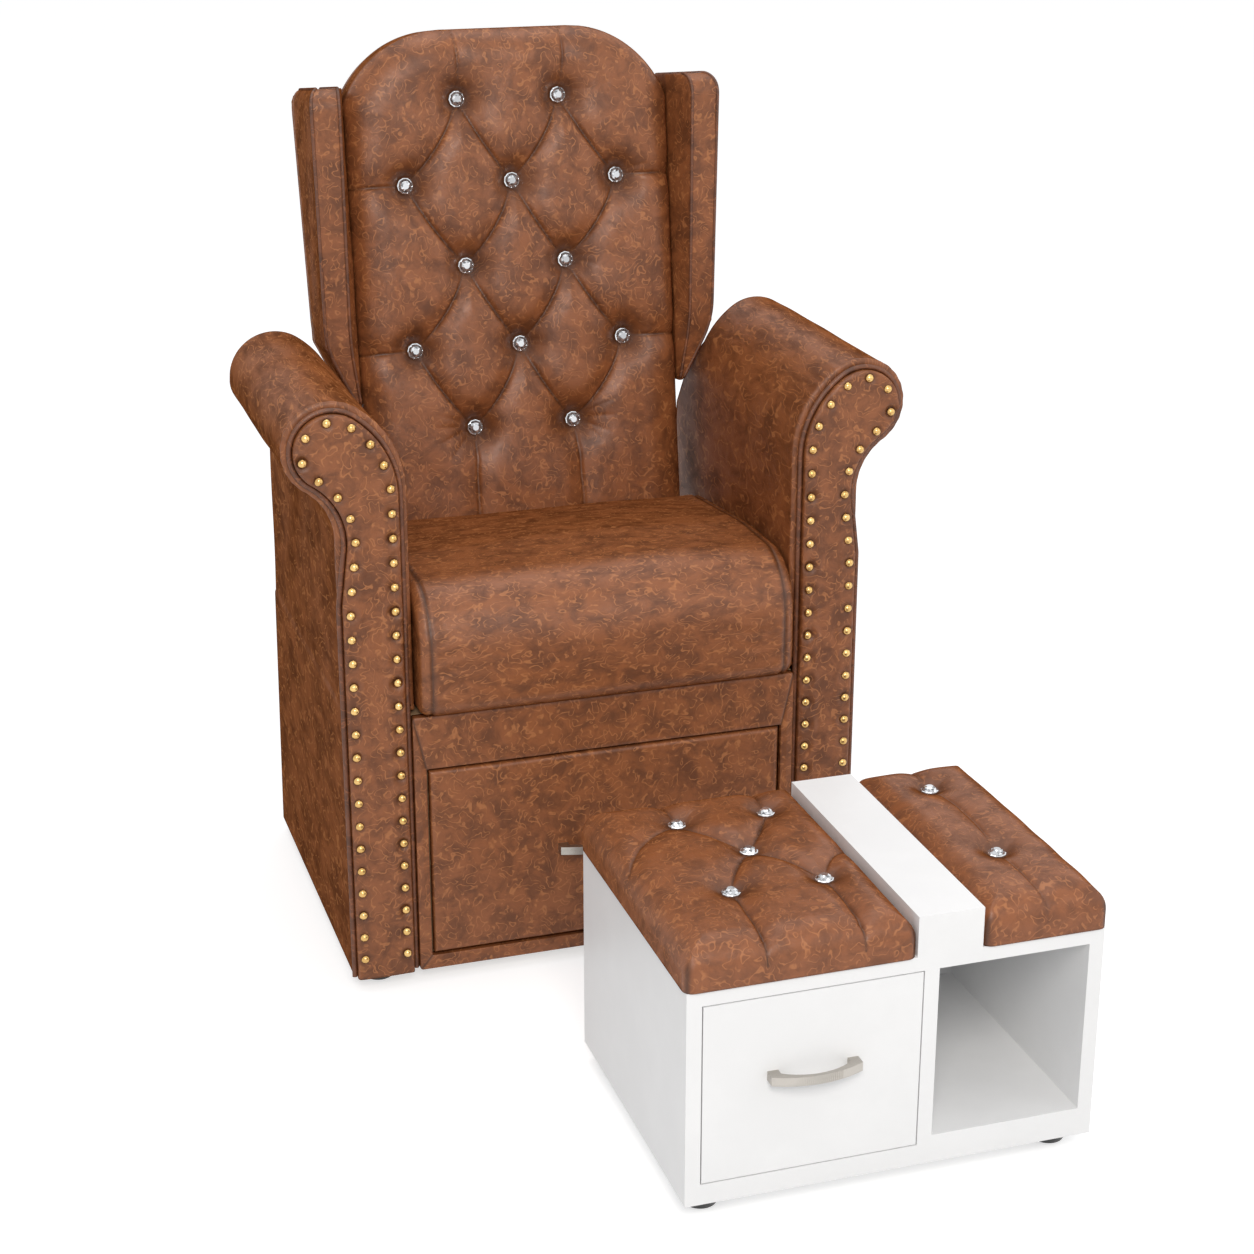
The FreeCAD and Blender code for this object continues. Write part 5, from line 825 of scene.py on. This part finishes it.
# %% The wings' piping
def seam_line(offset, forward):
    """Points of a wing's seam at a share of the band: offset 1 is the inner edge and 0 the outer one."""
    points = []
    bend = WING_HIGH - WING_ROUND + WING_ROUND * np.sin(np.radians((0, 15, 30, 45, 60, 75, 86)))
    for up in [WING_LOW + 0.004, WING_WAIST, *bend]:
        outer, reach = float(wing_outer(np.array(up))), float(wing_reach(np.array(up)))
        band = min(BAND, (outer - INNER) * 0.7)
        points.append((outer - offset * band - (1 - offset) * 0.001, -reach + forward, up))
    points.append((points[-1][0], REAR - 0.003, points[-1][2]))
    return points


inner_welt, outer_welt = [both_sides(lean(carried(rounded_line(seam, 0.030, 0.004), 0.0023)))
                          for seam in (seam_line(1, 0.0), seam_line(0, 0.001))]
for (side, inner_rows), (side, outer_rows) in zip(inner_welt, outer_welt):
    (near, faces), (far, more) = tube(inner_rows), tube(outer_rows)
    faces += [[corner + len(near) for corner in face] for face in more]
    make_piece(f"wing_welt_{side}", (np.concatenate([near, far]), faces), "backrest",
               cord_leather, [f"wing_piping_{side}"])

# %% The ledge behind the cushion and the rear cover
def back_outline(side, foot, shoulder, top, radius, corner=0.012):
    """Half loops joined: up the right side, over the shoulder ledge and the arch, and down the left."""
    arch_z = top - radius
    meet = FLAT + math.sqrt(radius ** 2 - (shoulder - arch_z) ** 2)
    start = math.asin((shoulder - arch_z) / radius)
    bend = np.linspace(start, math.pi / 2, 24)
    bevel = corner * 0.3
    right = [(side - corner, foot), (side - bevel, foot + bevel), (side, foot + corner),
             (side, (foot + shoulder) / 2), (side, shoulder - corner),
             (side - bevel, shoulder - bevel), (side - corner, shoulder), (meet + 0.002, shoulder)]
    right += [(FLAT + radius * math.cos(a), arch_z + radius * math.sin(a)) for a in bend]
    right = np.array(right)
    left = right[::-1] * np.array([-1, 1])
    return np.concatenate([right, left])


def plate_rows(outline_at, levels):
    """Loops of an outline at (inset, deep) levels, so that a plate gets rounded borders."""
    return np.array([np.column_stack([loop[:, 0], np.full(len(loop), deep), loop[:, 1]])
                     for loop, deep in ((outline_at(inset), deep) for inset, deep in levels)])


def ledge_loop(inset):
    """The ledge's outline, drawn in by inset."""
    return back_outline(0.2298 - inset, 0.4228 + inset, 1.1215 - inset, 1.2004 - inset, 0.1454 - inset)


levels = [(0.006, 0.0584), (0.002, 0.0588), (0.0, 0.0612), (0.0, 0.0805), (0.004, 0.0816)]
make_piece("back_ledge", tube(lean(plate_rows(ledge_loop, levels))), "backrest",
           panel_leather)


def cover_loop(inset):
    """The rear cover: straight below, wider behind the wings, arched on top."""
    side, wide_low, wide_high = 0.2278, 0.2795, 0.2852
    half = [(side - 0.01, 0.4242), (side, 0.4342), (side, 0.69), (side + 0.001, 0.70), (0.2555, 0.745),
            (wide_low, WING_WAIST + 0.002), (0.2815, 0.98), (wide_high, 1.116), (wide_high - 0.003, 1.124),
            (wide_high - 0.013, 1.1300), (0.232, 1.1302)]
    top, radius = 1.1988, 0.1438
    arch_z = top - radius
    start = math.asin((1.1304 - arch_z) / radius)
    bend = np.linspace(start, math.pi / 2, 24)
    half += [(FLAT + radius * math.cos(a), arch_z + radius * math.sin(a)) for a in bend]
    half = np.array(half)
    centre = np.array([0, 0.82])
    half = centre + (half - centre) * (1 - inset / np.array([0.25, 0.38]))
    return np.concatenate([half, half[::-1] * np.array([-1, 1])])


levels = [(0.001, 0.0823), (0.0, 0.0832), (0.0, 0.0852), (0.002, 0.0870), (0.005, 0.0879), (0.02, 0.0886),
          (0.06, 0.0892)]
make_piece("rear_cover", tube(lean(plate_rows(cover_loop, levels))), "backrest",
           panel_leather, ["back_cover"])

# %% [markdown]
# ## Rolled arms
#
# Seen from the front, an arm is a scroll: a straight outer side, a hollow under the roll, the roll
# itself and a long inner shoulder, all tangent arcs. One function gives that line at any inset, so the
# padded arm, its front panel and the piping between them share it. The arm is the line carried back to
# its sloping rear; leather gathers in small pleats where the roll meets the front panel.

# %% The scroll
ROLL = np.array([0.352, 0.747])
ROLL_R, HOLLOW_R, SHOULDER_R = 0.062, 0.080, 0.140
ARM_OUT, ARM_IN, ARM_FOOT, FLARE_Z = 0.351, 0.257, 0.0202, 0.545


def arc_points(centre, radius, first, last, step=0.0028):
    """Points of an arc from one angle to another."""
    count = max(int(abs(last - first) * radius / step), 4)
    angle = np.linspace(first, last, count)
    return np.column_stack([centre[0] + radius * np.cos(angle), centre[1] + radius * np.sin(angle)])


def straight_points(start, end, step=0.0045):
    """Points of a straight run."""
    start, end = np.array(start, float), np.array(end, float)
    count = max(int(np.linalg.norm(end - start) / step), 2)
    t = np.linspace(0, 1, count)[:, None]
    return start * (1 - t) + end * t


def scroll_parts(inset, flared):
    """The scroll drawn in by inset: its runs and arcs from the outer foot round to the inner shoulder."""
    roll_r, hollow_r, shoulder_r = ROLL_R - inset, HOLLOW_R + inset, SHOULDER_R - inset
    hollow_x, shoulder_x = ARM_OUT + HOLLOW_R, ARM_IN + SHOULDER_R
    hollow_drop = math.sqrt((roll_r + hollow_r) ** 2 - (hollow_x - ROLL[0]) ** 2)
    shoulder_drop = math.sqrt((shoulder_r - roll_r) ** 2 - (shoulder_x - ROLL[0]) ** 2)
    hollow = np.array([hollow_x, ROLL[1] - hollow_drop])
    shoulder = np.array([shoulder_x, ROLL[1] - shoulder_drop])
    way = (hollow - ROLL) / np.linalg.norm(hollow - ROLL)
    meet_angle = math.atan2(way[1], way[0])
    in_way = (ROLL - shoulder) / np.linalg.norm(ROLL - shoulder)
    in_angle = math.atan2(in_way[1], in_way[0])
    if flared:
        out_x = ARM_OUT + 0.010 - inset
        flare = np.array([out_x, FLARE_Z])
        reach = flare - hollow
        half = math.acos(hollow_r / np.linalg.norm(reach))
        waist_angle = math.atan2(reach[1], reach[0]) - half
        waist = hollow + hollow_r * np.array([math.cos(waist_angle), math.sin(waist_angle)])
        rise = [straight_points((out_x, ARM_FOOT), flare), straight_points(flare, waist)]
    else:
        out_x, waist_angle = ARM_OUT - inset, math.pi
        rise = [straight_points((out_x, ARM_FOOT), (out_x, hollow[1]))]
    waist_angle = waist_angle % (2 * math.pi)
    back_angle = (meet_angle + math.pi) % (2 * math.pi)
    hollow_arc = arc_points(hollow, hollow_r, waist_angle, back_angle)
    roll_arc = arc_points(ROLL, roll_r, meet_angle, in_angle)
    shoulder_arc = arc_points(shoulder, shoulder_r, in_angle, math.pi)
    return rise, hollow_arc, roll_arc, shoulder_arc


def joined(pieces):
    """One line from several, without the doubled end points."""
    return np.concatenate([pieces[0]] + [piece[1:] for piece in pieces[1:]])


def outward_of(line):
    """Unit normals of an open line, to its right."""
    way = np.gradient(line, axis=0)
    way = way / np.linalg.norm(way, axis=1, keepdims=True)
    return np.column_stack([way[:, 1], -way[:, 0]])


rise, hollow_arc, roll_arc, shoulder_arc = scroll_parts(0.0, False)
LEDGE, UNDER_SEAT = (ARM_IN, 0.3915), (0.2674, 0.3900)
inside = [straight_points(shoulder_arc[-1], LEDGE), straight_points(LEDGE, UNDER_SEAT),
          straight_points(UNDER_SEAT, (UNDER_SEAT[0], ARM_FOOT), 0.03)]
arm_line = joined(rise + [hollow_arc, roll_arc, shoulder_arc] + inside)
arm_out = outward_of(arm_line)
print("arm line", len(arm_line), "points, widest", round(arm_line[:, 0].max(), 4))

# %% The padded arms
PANEL_BACK = FRONT + 0.014
SLOPE = math.tan(math.radians(5.5))
ARM_LONG, NECK_Z, ROLL_LONG, CHAIR_LIFT = 0.545, 0.640, 0.410, 0.020


def arm_rear(up):
    """Where the arm ends behind: it leans forward with height, more below the roll, then is upright."""
    neck = ARM_LONG - (NECK_Z - CHAIR_LIFT) * SLOPE
    upper = neck - (neck - ROLL_LONG) * (up - NECK_Z) / (ROLL[1] - NECK_Z)
    lower = ARM_LONG - (up - CHAIR_LIFT) * SLOPE
    return FRONT + np.where(up < NECK_Z, lower, np.maximum(upper, ROLL_LONG))


def arm_loop(inset, share):
    """One loop of the arm at a share of its depth, drawn in by inset."""
    flat = arm_line - arm_out * inset
    rear = arm_rear(flat[:, 1])
    deep = PANEL_BACK + 0.0004 + (rear - PANEL_BACK - 0.0008) * share
    return np.column_stack([flat[:, 0], deep, flat[:, 1]])


shares = np.linspace(0, 1, 92)
bodies = [arm_loop(0.0, 0.006 + share * 0.988) for share in shares]
arm_rows = [arm_loop(0.0085, 0.0), arm_loop(0.0042, 0.0007), arm_loop(0.0012, 0.0028)] + bodies
arm_rows += [arm_loop(0.0014, 0.997), arm_loop(0.005, 0.9995), arm_loop(0.010, 1.0)]
arm_rows = np.array(arm_rows)
around = run_lengths(arm_line)
on_roll = np.exp(-((arm_line[:, 1] - 0.745) / 0.085) ** 2)[None, :]
from_front = (arm_rows[..., 1] - PANEL_BACK)
gathers = 0.0008 * np.sin(around[None, :] * 2 * math.pi / 0.016) * np.exp(-from_front / 0.022) * on_roll
lumps = 0.0011 * soft_lumps(np.broadcast_to(around[None, :], from_front.shape), from_front, 0.17, 21)
shift = (gathers + lumps - 0.0012) * np.clip(from_front / 0.006, 0, 1)
shift = shift * (arm_line[:, 1] > 0.40)[None, :]
arm_rows[..., 0] += arm_out[None, :, 0] * shift
arm_rows[..., 2] += arm_out[None, :, 1] * shift
for side, rows in both_sides(arm_rows):
    make_piece(f"padded_arm_{side}", tube(rows), "chair_base", arm_leather, [f"arm_pad_{side}"])

# %% [markdown]
# ## Front panels, piping and nails
#
# A front panel is a thin padded scroll. Its grid runs up the arm: every row joins a point of the inner
# edge with its partner on the outer edge, and both edges end at the same place on the roll. The nails
# stay as the engineering model has them. The leather sinks a little under every head, and it puckers
# between the heads and the piping, so the heads' places are read from that model.

# %% Partners across the panel
def panel_edges(inset):
    """The panel's outer and inner edges with matching points: side, neck, both ways round the roll."""
    rise, hollow_arc, roll_arc, shoulder_arc = scroll_parts(inset, True)
    angle = np.unwrap(np.arctan2(roll_arc[:, 1] - ROLL[1], roll_arc[:, 0] - ROLL[0]))
    split = int(np.argmin(abs(angle - math.radians(12))))
    inner_x = ARM_IN + inset
    outer = [evenly(rise[0], 130), evenly(rise[1], 24)[1:], evenly(hollow_arc, 26)[1:],
             evenly(roll_arc[:split + 1], 30)[1:]]
    start_z = max(shoulder_arc[-1][1], FLARE_Z + 0.02)
    inner = [evenly([(inner_x, ARM_FOOT), (inner_x, FLARE_Z)], 130),
             evenly([(inner_x, FLARE_Z), (inner_x, start_z)], 24)[1:],
             evenly(shoulder_arc[::-1], 26)[1:], evenly(roll_arc[split:][::-1], 30)[1:]]
    return np.concatenate(outer), np.concatenate(inner)


def nail_places():
    """Heads' centres on the right side, from the engineering model's points that stand furthest out."""
    mesh = frame["nodes"]["arm_nails"].data
    flat = np.zeros(len(mesh.vertices) * 3)
    mesh.vertices.foreach_get("co", flat)
    spots = flat.reshape(-1, 3)
    tips = spots[(spots[:, 1] < spots[:, 1].min() + 0.0006) & (spots[:, 0] > 0)]
    keys = np.unique(np.round(tips[:, [0, 2]] / 0.012).astype(int), axis=0)
    places = []
    for key in keys:
        near = tips[np.all(abs(tips[:, [0, 2]] / 0.012 - key) < 0.6, axis=1)]
        places.append(near[:, [0, 2]].mean(axis=0))
    return np.array(places)


def panel_sheet(deep_at, inset):
    """A grid over the panel; deep_at gives each point's depth from its place and its share across."""
    outer, inner = panel_edges(inset)
    share = (eased(45, 0.25)[None, :, None] + 1) / 2
    flat = outer[:, None, :] * (1 - share) + inner[:, None, :] * share
    deep = deep_at(flat[..., 0], flat[..., 1], np.broadcast_to(share[..., 0], flat.shape[:2]))
    return np.stack([flat[..., 0], deep, flat[..., 1]], axis=-1)


heads = nail_places()
print(len(heads), "nail heads on the right arm")


def panel_front(x, z, share):
    """A low crown with a rounded border, sunk round each nail head."""
    edge = 1 - np.abs(2 * share - 1)
    top = np.clip((1 - np.linspace(0, 1, x.shape[0]))[:, None] * 6, 0, 1)
    border_fall = rim_fall(np.minimum(edge * 0.045, top * 0.02), 0.006)
    deep = FRONT + 0.0042 * border_fall - 0.0008 * np.sin(np.pi * share) + 0.0008
    deep = deep + 0.0003 * soft_lumps(x, z, 0.05, 31)
    for head in heads:
        far = np.hypot(x - head[0], z - head[1])
        sunk, pucker = np.exp(-(far / 0.0075) ** 2), np.exp(-((far - 0.012) / 0.004) ** 2)
        deep = deep + 0.0012 * sunk - 0.0004 * pucker
    return deep


def panel_rear(x, z, share):
    """The panel's flat rear, which lies on the arm."""
    return np.full(x.shape, PANEL_BACK - 0.0003)


front, rear = panel_sheet(panel_front, 0.0136), panel_sheet(panel_rear, 0.0140)
# Painted shade in the dimple round each nail head.
dark = np.zeros(front.shape[:2])
for head in heads:
    far = np.hypot(front[..., 0] - head[0], front[..., 2] - head[1])
    dark = np.maximum(dark, 0.75 * np.exp(-(np.maximum(far - 0.005, 0) / 0.0035)))
for (side, sheet), (side, sole) in zip(both_sides(front), both_sides(rear)):
    make_piece(f"padded_panel_{side}", closed_pad(sheet, sole, rings=3), "chair_base",
               panel_leather, [f"arm_panel_{side}"], dark)

# %% Piping round the panels
WELT_IN, WELT_FOOT, WELT_RADIUS = 0.0100, 0.0225, 0.0034
rise, hollow_arc, roll_arc, shoulder_arc = scroll_parts(WELT_IN, True)
tail = straight_points(shoulder_arc[-1], (ARM_IN + WELT_IN, WELT_FOOT))
welt_line = joined(rise + [hollow_arc, roll_arc, shoulder_arc, tail])
welt_path = smooth_line(np.column_stack([welt_line[:, 0], np.full(len(welt_line), PANEL_BACK - 0.0036),
                                         welt_line[:, 1]]), 0.004)
welt_path[[0, -1], 2] = WELT_FOOT
for side, rows in both_sides(carried(welt_path, WELT_RADIUS)):
    make_piece(f"arm_welt_{side}", tube(rows), "chair_base", cord_leather,
               [f"arm_piping_{side}"])

# %% [markdown]
# ## Seat cushion, face frame and drawer front
#
# The seat cushion is a loop seen from the side: a flat foot, a round chin, a full front, a large nose
# and a crowned top. The loop is carried across the seat, smaller towards the sides, and closed there by
# rings that shrink. A boxing seam runs round each side. The face frame is a padded ring round the
# drawer, and the drawer front a pad of its own; both have mitred or rolled edges.

# %% Side profile of the seat cushion
SEAT_HALF, SEAT_LOW, SEAT_TOP, SEAT_BACK = 0.2543, 0.3856, 0.556, 0.3590
SEAM_IN = 0.0145


def seat_loop(inset, rise):
    """The cushion seen from the side, drawn in by inset; rise lifts the crown of its top."""
    front, low, top = -0.0198 + inset, SEAT_LOW + inset, SEAT_TOP - inset
    rear, rear_top = SEAT_BACK - inset, 0.536 - inset
    nose, chin = max(0.078 - inset, 0.006), max(0.026 - inset, 0.004)
    outline = [(front + 2.2 * nose, top), (rear, rear_top), (rear, low), (front, low), (front, top)]
    flat = rounded_loop(outline, [0.24, 0.016, 0.008, chin, nose], 20, arc=18)
    share = np.clip((flat[:, 0] - front) / (rear - front), 0, 1)
    height = np.clip((flat[:, 1] - low) / (top - low), 0, 1)
    lift = rise * np.sin(np.pi * np.clip(share, 0, 1)) ** 0.6 * height ** 3
    belly = 0.4 * rise * np.sin(np.pi * height) * np.exp(-(share / 0.12) ** 2)
    return np.column_stack([np.zeros(len(flat)), FRONT + flat[:, 0] - belly, flat[:, 1] + lift])


def seat_rows(half, count=110):
    """Loops across the seat with caps of shrinking rings; the sides are drawn in and carry a seam."""
    rows = []
    for x in half * eased(count, 0.42):
        side = abs(x) / half
        fall = 1 - math.sqrt(max(1 - max((abs(x) - (half - 0.020)) / 0.020, 0) ** 2, 0))
        seam = 0.0022 * math.exp(-((half - abs(x) - SEAM_IN) / 0.0022) ** 2)
        loop = seat_loop(0.012 * fall + seam, 0.0075 * (1 - side ** 2.2))
        loop[:, 0] = x
        rows.append(loop)
    caps = [seat_loop(inset, 0.0) for inset in (0.026, 0.045, 0.070)]
    left = [loop + np.array([-half, 0, 0]) for loop in caps[::-1]]
    right = [loop + np.array([half, 0, 0]) for loop in caps]
    return np.array(left + rows + right)


seat = seat_rows(SEAT_HALF)
softness = np.clip((SEAT_HALF - abs(seat[..., 0])) / 0.03, 0, 1)
softness = softness * np.clip((seat[..., 2] - 0.40) / 0.03, 0, 1)
seat[..., 2] += (0.0022 * soft_lumps(seat[..., 0], seat[..., 1], 0.24, 41) - 0.001) * softness
seat[..., 1] += 0.0012 * soft_lumps(seat[..., 0], seat[..., 2], 0.15, 42) * softness
inward = np.clip((abs(seat[..., 0]) - 0.12) / 0.12, 0, 1)
fine = 0.0007 * np.sin(seat[..., 2] * 2 * math.pi / 0.021 + 3 * np.sin(seat[..., 0] * 40)) * inward
seat[..., 1] += fine * softness * np.exp(-((seat[..., 1] - FRONT) / 0.05) ** 2)
# Painted shade along the boxing seam's groove on each side.
painted_seam_shade = np.exp(-((SEAT_HALF - abs(seat[..., 0]) - SEAM_IN) / 0.0032) ** 2) * 0.9
make_piece("soft_seat", tube(seat), "chair_base", seat_leather, ["seat_cushion"], painted_seam_shade)

# %% The padded face frame
def square_ring(half, low, high, corner, count=48):
    """Points round a rectangle from its lower middle, with small rounded corners."""
    outline = [(half, low), (half, high), (-half, high), (-half, low)]
    return rounded_loop(outline, [corner] * 4, count)


FRAME_OUT, FRAME_IN = (0.2629, 0.0204, 0.3846), (0.2463, 0.0397, 0.3103)
profile = [(0.0, 0.0158), (0.0, 0.0100), (0.0004, 0.0070), (0.0016, 0.0050), (0.0045, 0.0040),
           (0.012, 0.0032), (0.5, 0.0026), (0.988, 0.0032), (0.9955, 0.0040), (0.9984, 0.0050),
           (0.9996, 0.0070), (1.0, 0.0100), (1.0, 0.0158)]
steps = []
for (a, deep), (b, next_deep) in zip(profile, profile[1:]):
    extra = 8 if b - a > 0.1 else 1
    for number in range(extra):
        t = number / extra
        steps.append((a + (b - a) * t, deep + (next_deep - deep) * t))
steps.append(profile[-1])
outer_ring, inner_ring = square_ring(*FRAME_OUT, 0.003), square_ring(*FRAME_IN, 0.003)
rows = []
for share, deep in steps:
    flat = outer_ring * (1 - share) + inner_ring * share
    rows.append(np.column_stack([flat[:, 0], np.full(len(flat), FRONT + deep), flat[:, 1]]))
rows = np.array(rows)
# Painted shade along the four mitre grooves.
painted_mitre_shade = np.zeros(rows.shape[:2])
for sx in (-1, 1):
    for outer_z, inner_z in ((FRAME_OUT[2], FRAME_IN[2]), (FRAME_OUT[1], FRAME_IN[1])):
        path = np.array([(sx * FRAME_OUT[0], outer_z), (sx * FRAME_IN[0], inner_z)])
        far, _, _ = nearest(rows[..., 0], rows[..., 2], path)
        rows[..., 1] += 0.0009 * np.exp(-(far / 0.0016) ** 2) * (rows[..., 1] < FRONT + 0.006)
        painted_mitre_shade = np.maximum(painted_mitre_shade, 0.85 * np.exp(-(far / 0.0016) ** 2))
ring_count = rows.shape[1]
faces = grid_faces(rows.shape[0], ring_count, wrap=True)
last = (rows.shape[0] - 1) * ring_count + np.arange(ring_count)
first = np.arange(ring_count)
back_face = np.stack([last, np.roll(last, -1), np.roll(first, -1), first], axis=-1)
faces = np.concatenate([faces, back_face]).tolist()
make_piece("padded_face_frame", (rows.reshape(-1, 3), faces), "chair_base", panel_leather,
           ["face_frame_pad"], painted_mitre_shade)

# %% The padded drawer front
def flat_pad(half, low, high, front, rear, round_off, crown, seed, count=(110, 80)):
    """Front and rear sheets of an upright pad with rolled edges and a low crown."""
    across = half * eased(count[0], 0.45)[None, :]
    up = ((low + high) / 2 + (high - low) / 2 * eased(count[1], 0.45))[:, None]
    across, up = np.broadcast_arrays(across, up)
    rim = np.minimum(half - abs(across), np.minimum(up - low, high - up))
    edge = rim_fall(np.maximum(rim, 0), round_off)
    dome = np.cos(np.pi * across / (2 * half)) * np.sin(np.pi * (up - low) / (high - low))
    deep = front + round_off * 0.95 * edge - crown * np.clip(dome, 0, 1) ** 0.6
    deep = deep + 0.0005 * soft_lumps(across, up, 0.16, seed) * (1 - edge)
    sheet = np.stack([across, deep, up], axis=-1)
    back = np.stack([across * 0.9995, np.full(across.shape, rear), up], axis=-1)
    return sheet, back


sheet, back = flat_pad(0.2428, 0.0432, 0.3068, FRONT + 0.0026, FRONT + 0.0157, 0.006, 0.0012, 51)
make_piece("padded_drawer_front", closed_pad(sheet, back, rings=3), "chair_drawer",
           panel_leather, ["chair_drawer_pad"])

# %% [markdown]
# ## The footstool's pads
#
# Both pads are built like the back cushion, but lying down: a height over a rounded rectangle, full
# sides, pits at the crystals and creases between them. The photo shows which folds meet where, so they
# are listed one by one, measured from the footstool's front left corner.

# %% Creases on the pads
STOOL_LEFT, STOOL_FRONT, STOOL_TOP = -0.111, FRONT - 0.633, 0.295
WIDE_PITS = [(0.098, 0.318), (0.212, 0.318), (0.155, 0.224), (0.098, 0.130), (0.212, 0.130)]
NARROW_PITS = [(0.430, 0.318), (0.430, 0.130)]
REAR_LEFT, REAR_RIGHT, CENTRE, FRONT_LEFT, FRONT_RIGHT = WIDE_PITS
wide_creases = [
    (fold_path(REAR_LEFT, (0.094, 0.387), (0.002, 0)), 0.9, 0.0024, 0.35),
    (fold_path(REAR_LEFT, (0.004, 0.215), (-0.010, 0.020)), 0.8, 0.0024, 0.45),
    (fold_path(REAR_LEFT, CENTRE, (-0.006, -0.004)), 1.0, 0.0028, 0.0),
    (fold_path(REAR_RIGHT, (0.216, 0.387), (0.002, 0)), 0.9, 0.0024, 0.35),
    (fold_path(REAR_RIGHT, CENTRE, (0.006, -0.004)), 1.0, 0.0028, 0.0),
    (fold_path(CENTRE, FRONT_LEFT, (-0.007, 0.004)), 1.0, 0.0028, 0.0),
    (fold_path(CENTRE, FRONT_RIGHT, (0.006, 0.004)), 1.0, 0.0028, 0.0),
    (fold_path(FRONT_RIGHT, (0.2717, 0.200), (-0.008, 0.012)), 0.9, 0.0024, 0.3),
    (fold_path(FRONT_RIGHT, (0.208, -0.003), (0.002, 0)), 1.0, 0.0022, 0.0),
    (fold_path(FRONT_LEFT, (0.092, -0.003), (0.002, 0)), 1.0, 0.0022, 0.0),
]
narrow_creases = [
    (fold_path(NARROW_PITS[0], NARROW_PITS[1], (0.010, 0)), 0.55, 0.0024, 0.0),
    (fold_path(NARROW_PITS[0], (0.430, 0.387), (0.002, 0)), 0.8, 0.0024, 0.4),
    (fold_path(NARROW_PITS[1], (0.430, -0.003), (-0.003, 0)), 0.6, 0.0020, 0.2),
]
chance = np.random.default_rng(19)
for pits, creases in ((WIDE_PITS, wide_creases), (NARROW_PITS, narrow_creases)):
    for x, y in pits:
        for tilt in (35, 140, 215, 320):
            angle = math.radians(tilt + chance.uniform(-18, 18))
            reach = 0.030 * chance.uniform(0.8, 1.3)
            tip = (x + reach * math.cos(angle), y + reach * math.sin(angle))
            creases.append((fold_path((x, y), tip, (0.002, 0.002)), 0.35, 0.0020, 1.0))
print(len(wide_creases), len(narrow_creases), "creases on the pads")

# %% The pads
def lying_pad(name, x, y, pits, creases, seed, high=0.0475, crown=0.0110, corner=0.012):
    """A tufted pad on the footstool's top between the places x and y."""
    middle, half = (x[0] + x[1]) / 2, (x[1] - x[0]) / 2
    centre, reach = (y[0] + y[1]) / 2, (y[1] - y[0]) / 2
    depth = (centre + reach * eased(261, 0.35))[:, None]
    notch = np.maximum(abs(depth - centre) - (reach - corner), 0)
    wide = half - corner + np.sqrt(np.maximum(corner ** 2 - notch ** 2, 0))
    across = middle + wide * eased(191 if half > 0.1 else 121, 0.35)[None, :]
    depth = np.broadcast_to(depth, across.shape)
    narrow, broad, pit, dark = tufted(across, depth, creases, pits, pit_radius=0.0115, pit_width=0.016,
                                      soft=0.014)
    out_x, out_y = abs(across - middle) - (half - corner), abs(depth - centre) - (reach - corner)
    rounded = corner - np.hypot(np.maximum(out_x, 0), np.maximum(out_y, 0))
    rim = np.where((out_x > 0) & (out_y > 0), rounded,
                   np.minimum(half - abs(across - middle), reach - abs(depth - centre)))
    rim = np.maximum(rim, 0)
    edge = rim_fall(rim, 0.036)
    dome = np.clip(1 - ((across - middle) / half) ** 2, 0, 1)
    dome = dome * np.clip(1 - ((depth - centre) / reach) ** 2, 0, 1)
    full = high + crown * (0.35 + 0.65 * dome ** 0.5)
    inner = np.clip(rim / 0.02, 0, 1)
    top = full - 0.030 * edge + 0.0009 * soft_lumps(across, depth, 0.11, seed)
    top = top - 0.0075 * broad * inner - 0.0062 * narrow * (0.3 + 0.7 * inner)
    floor = high + crown - 0.0144
    top = top * (1 - pit) + np.minimum(top, floor) * pit
    place = np.array([STOOL_LEFT, STOOL_FRONT, STOOL_TOP])
    skin = np.stack([across, depth, top], axis=-1) + place
    sole = np.stack([across, depth, np.full(across.shape, 0.0003)], axis=-1) + place
    points, faces = closed_pad(skin, sole, rings=9)
    # Painted shade: dark at the pad's four corners, and along its creases and round its pits.
    corner_far = np.hypot(abs(points[:, 0] - place[0] - middle) - (half - 0.004),
                          abs(points[:, 1] - place[1] - centre) - (reach - 0.004))
    marks = 0.9 * np.exp(-(corner_far / 0.0042) ** 2)
    marks[:dark.size] = np.maximum(marks[:dark.size], dark.reshape(-1))
    make_piece(f"tufted_{name}", (points, faces), "stool", stool_leather, [name], marks)


lying_pad("stool_wide_pad", (-0.0028, 0.2715), (-0.0028, 0.3868), WIDE_PITS, wide_creases, 61)
lying_pad("stool_narrow_pad", (0.3525, 0.5078), (-0.0028, 0.3868), NARROW_PITS, narrow_creases, 62)
stool_spots = [(STOOL_LEFT + x, STOOL_FRONT + y, STOOL_TOP + 0.0440) for x, y in WIDE_PITS + NARROW_PITS]
stone_set("stool_crystals", stool_spots, (0, 0, 1), "stool", ["stool_buttons"])
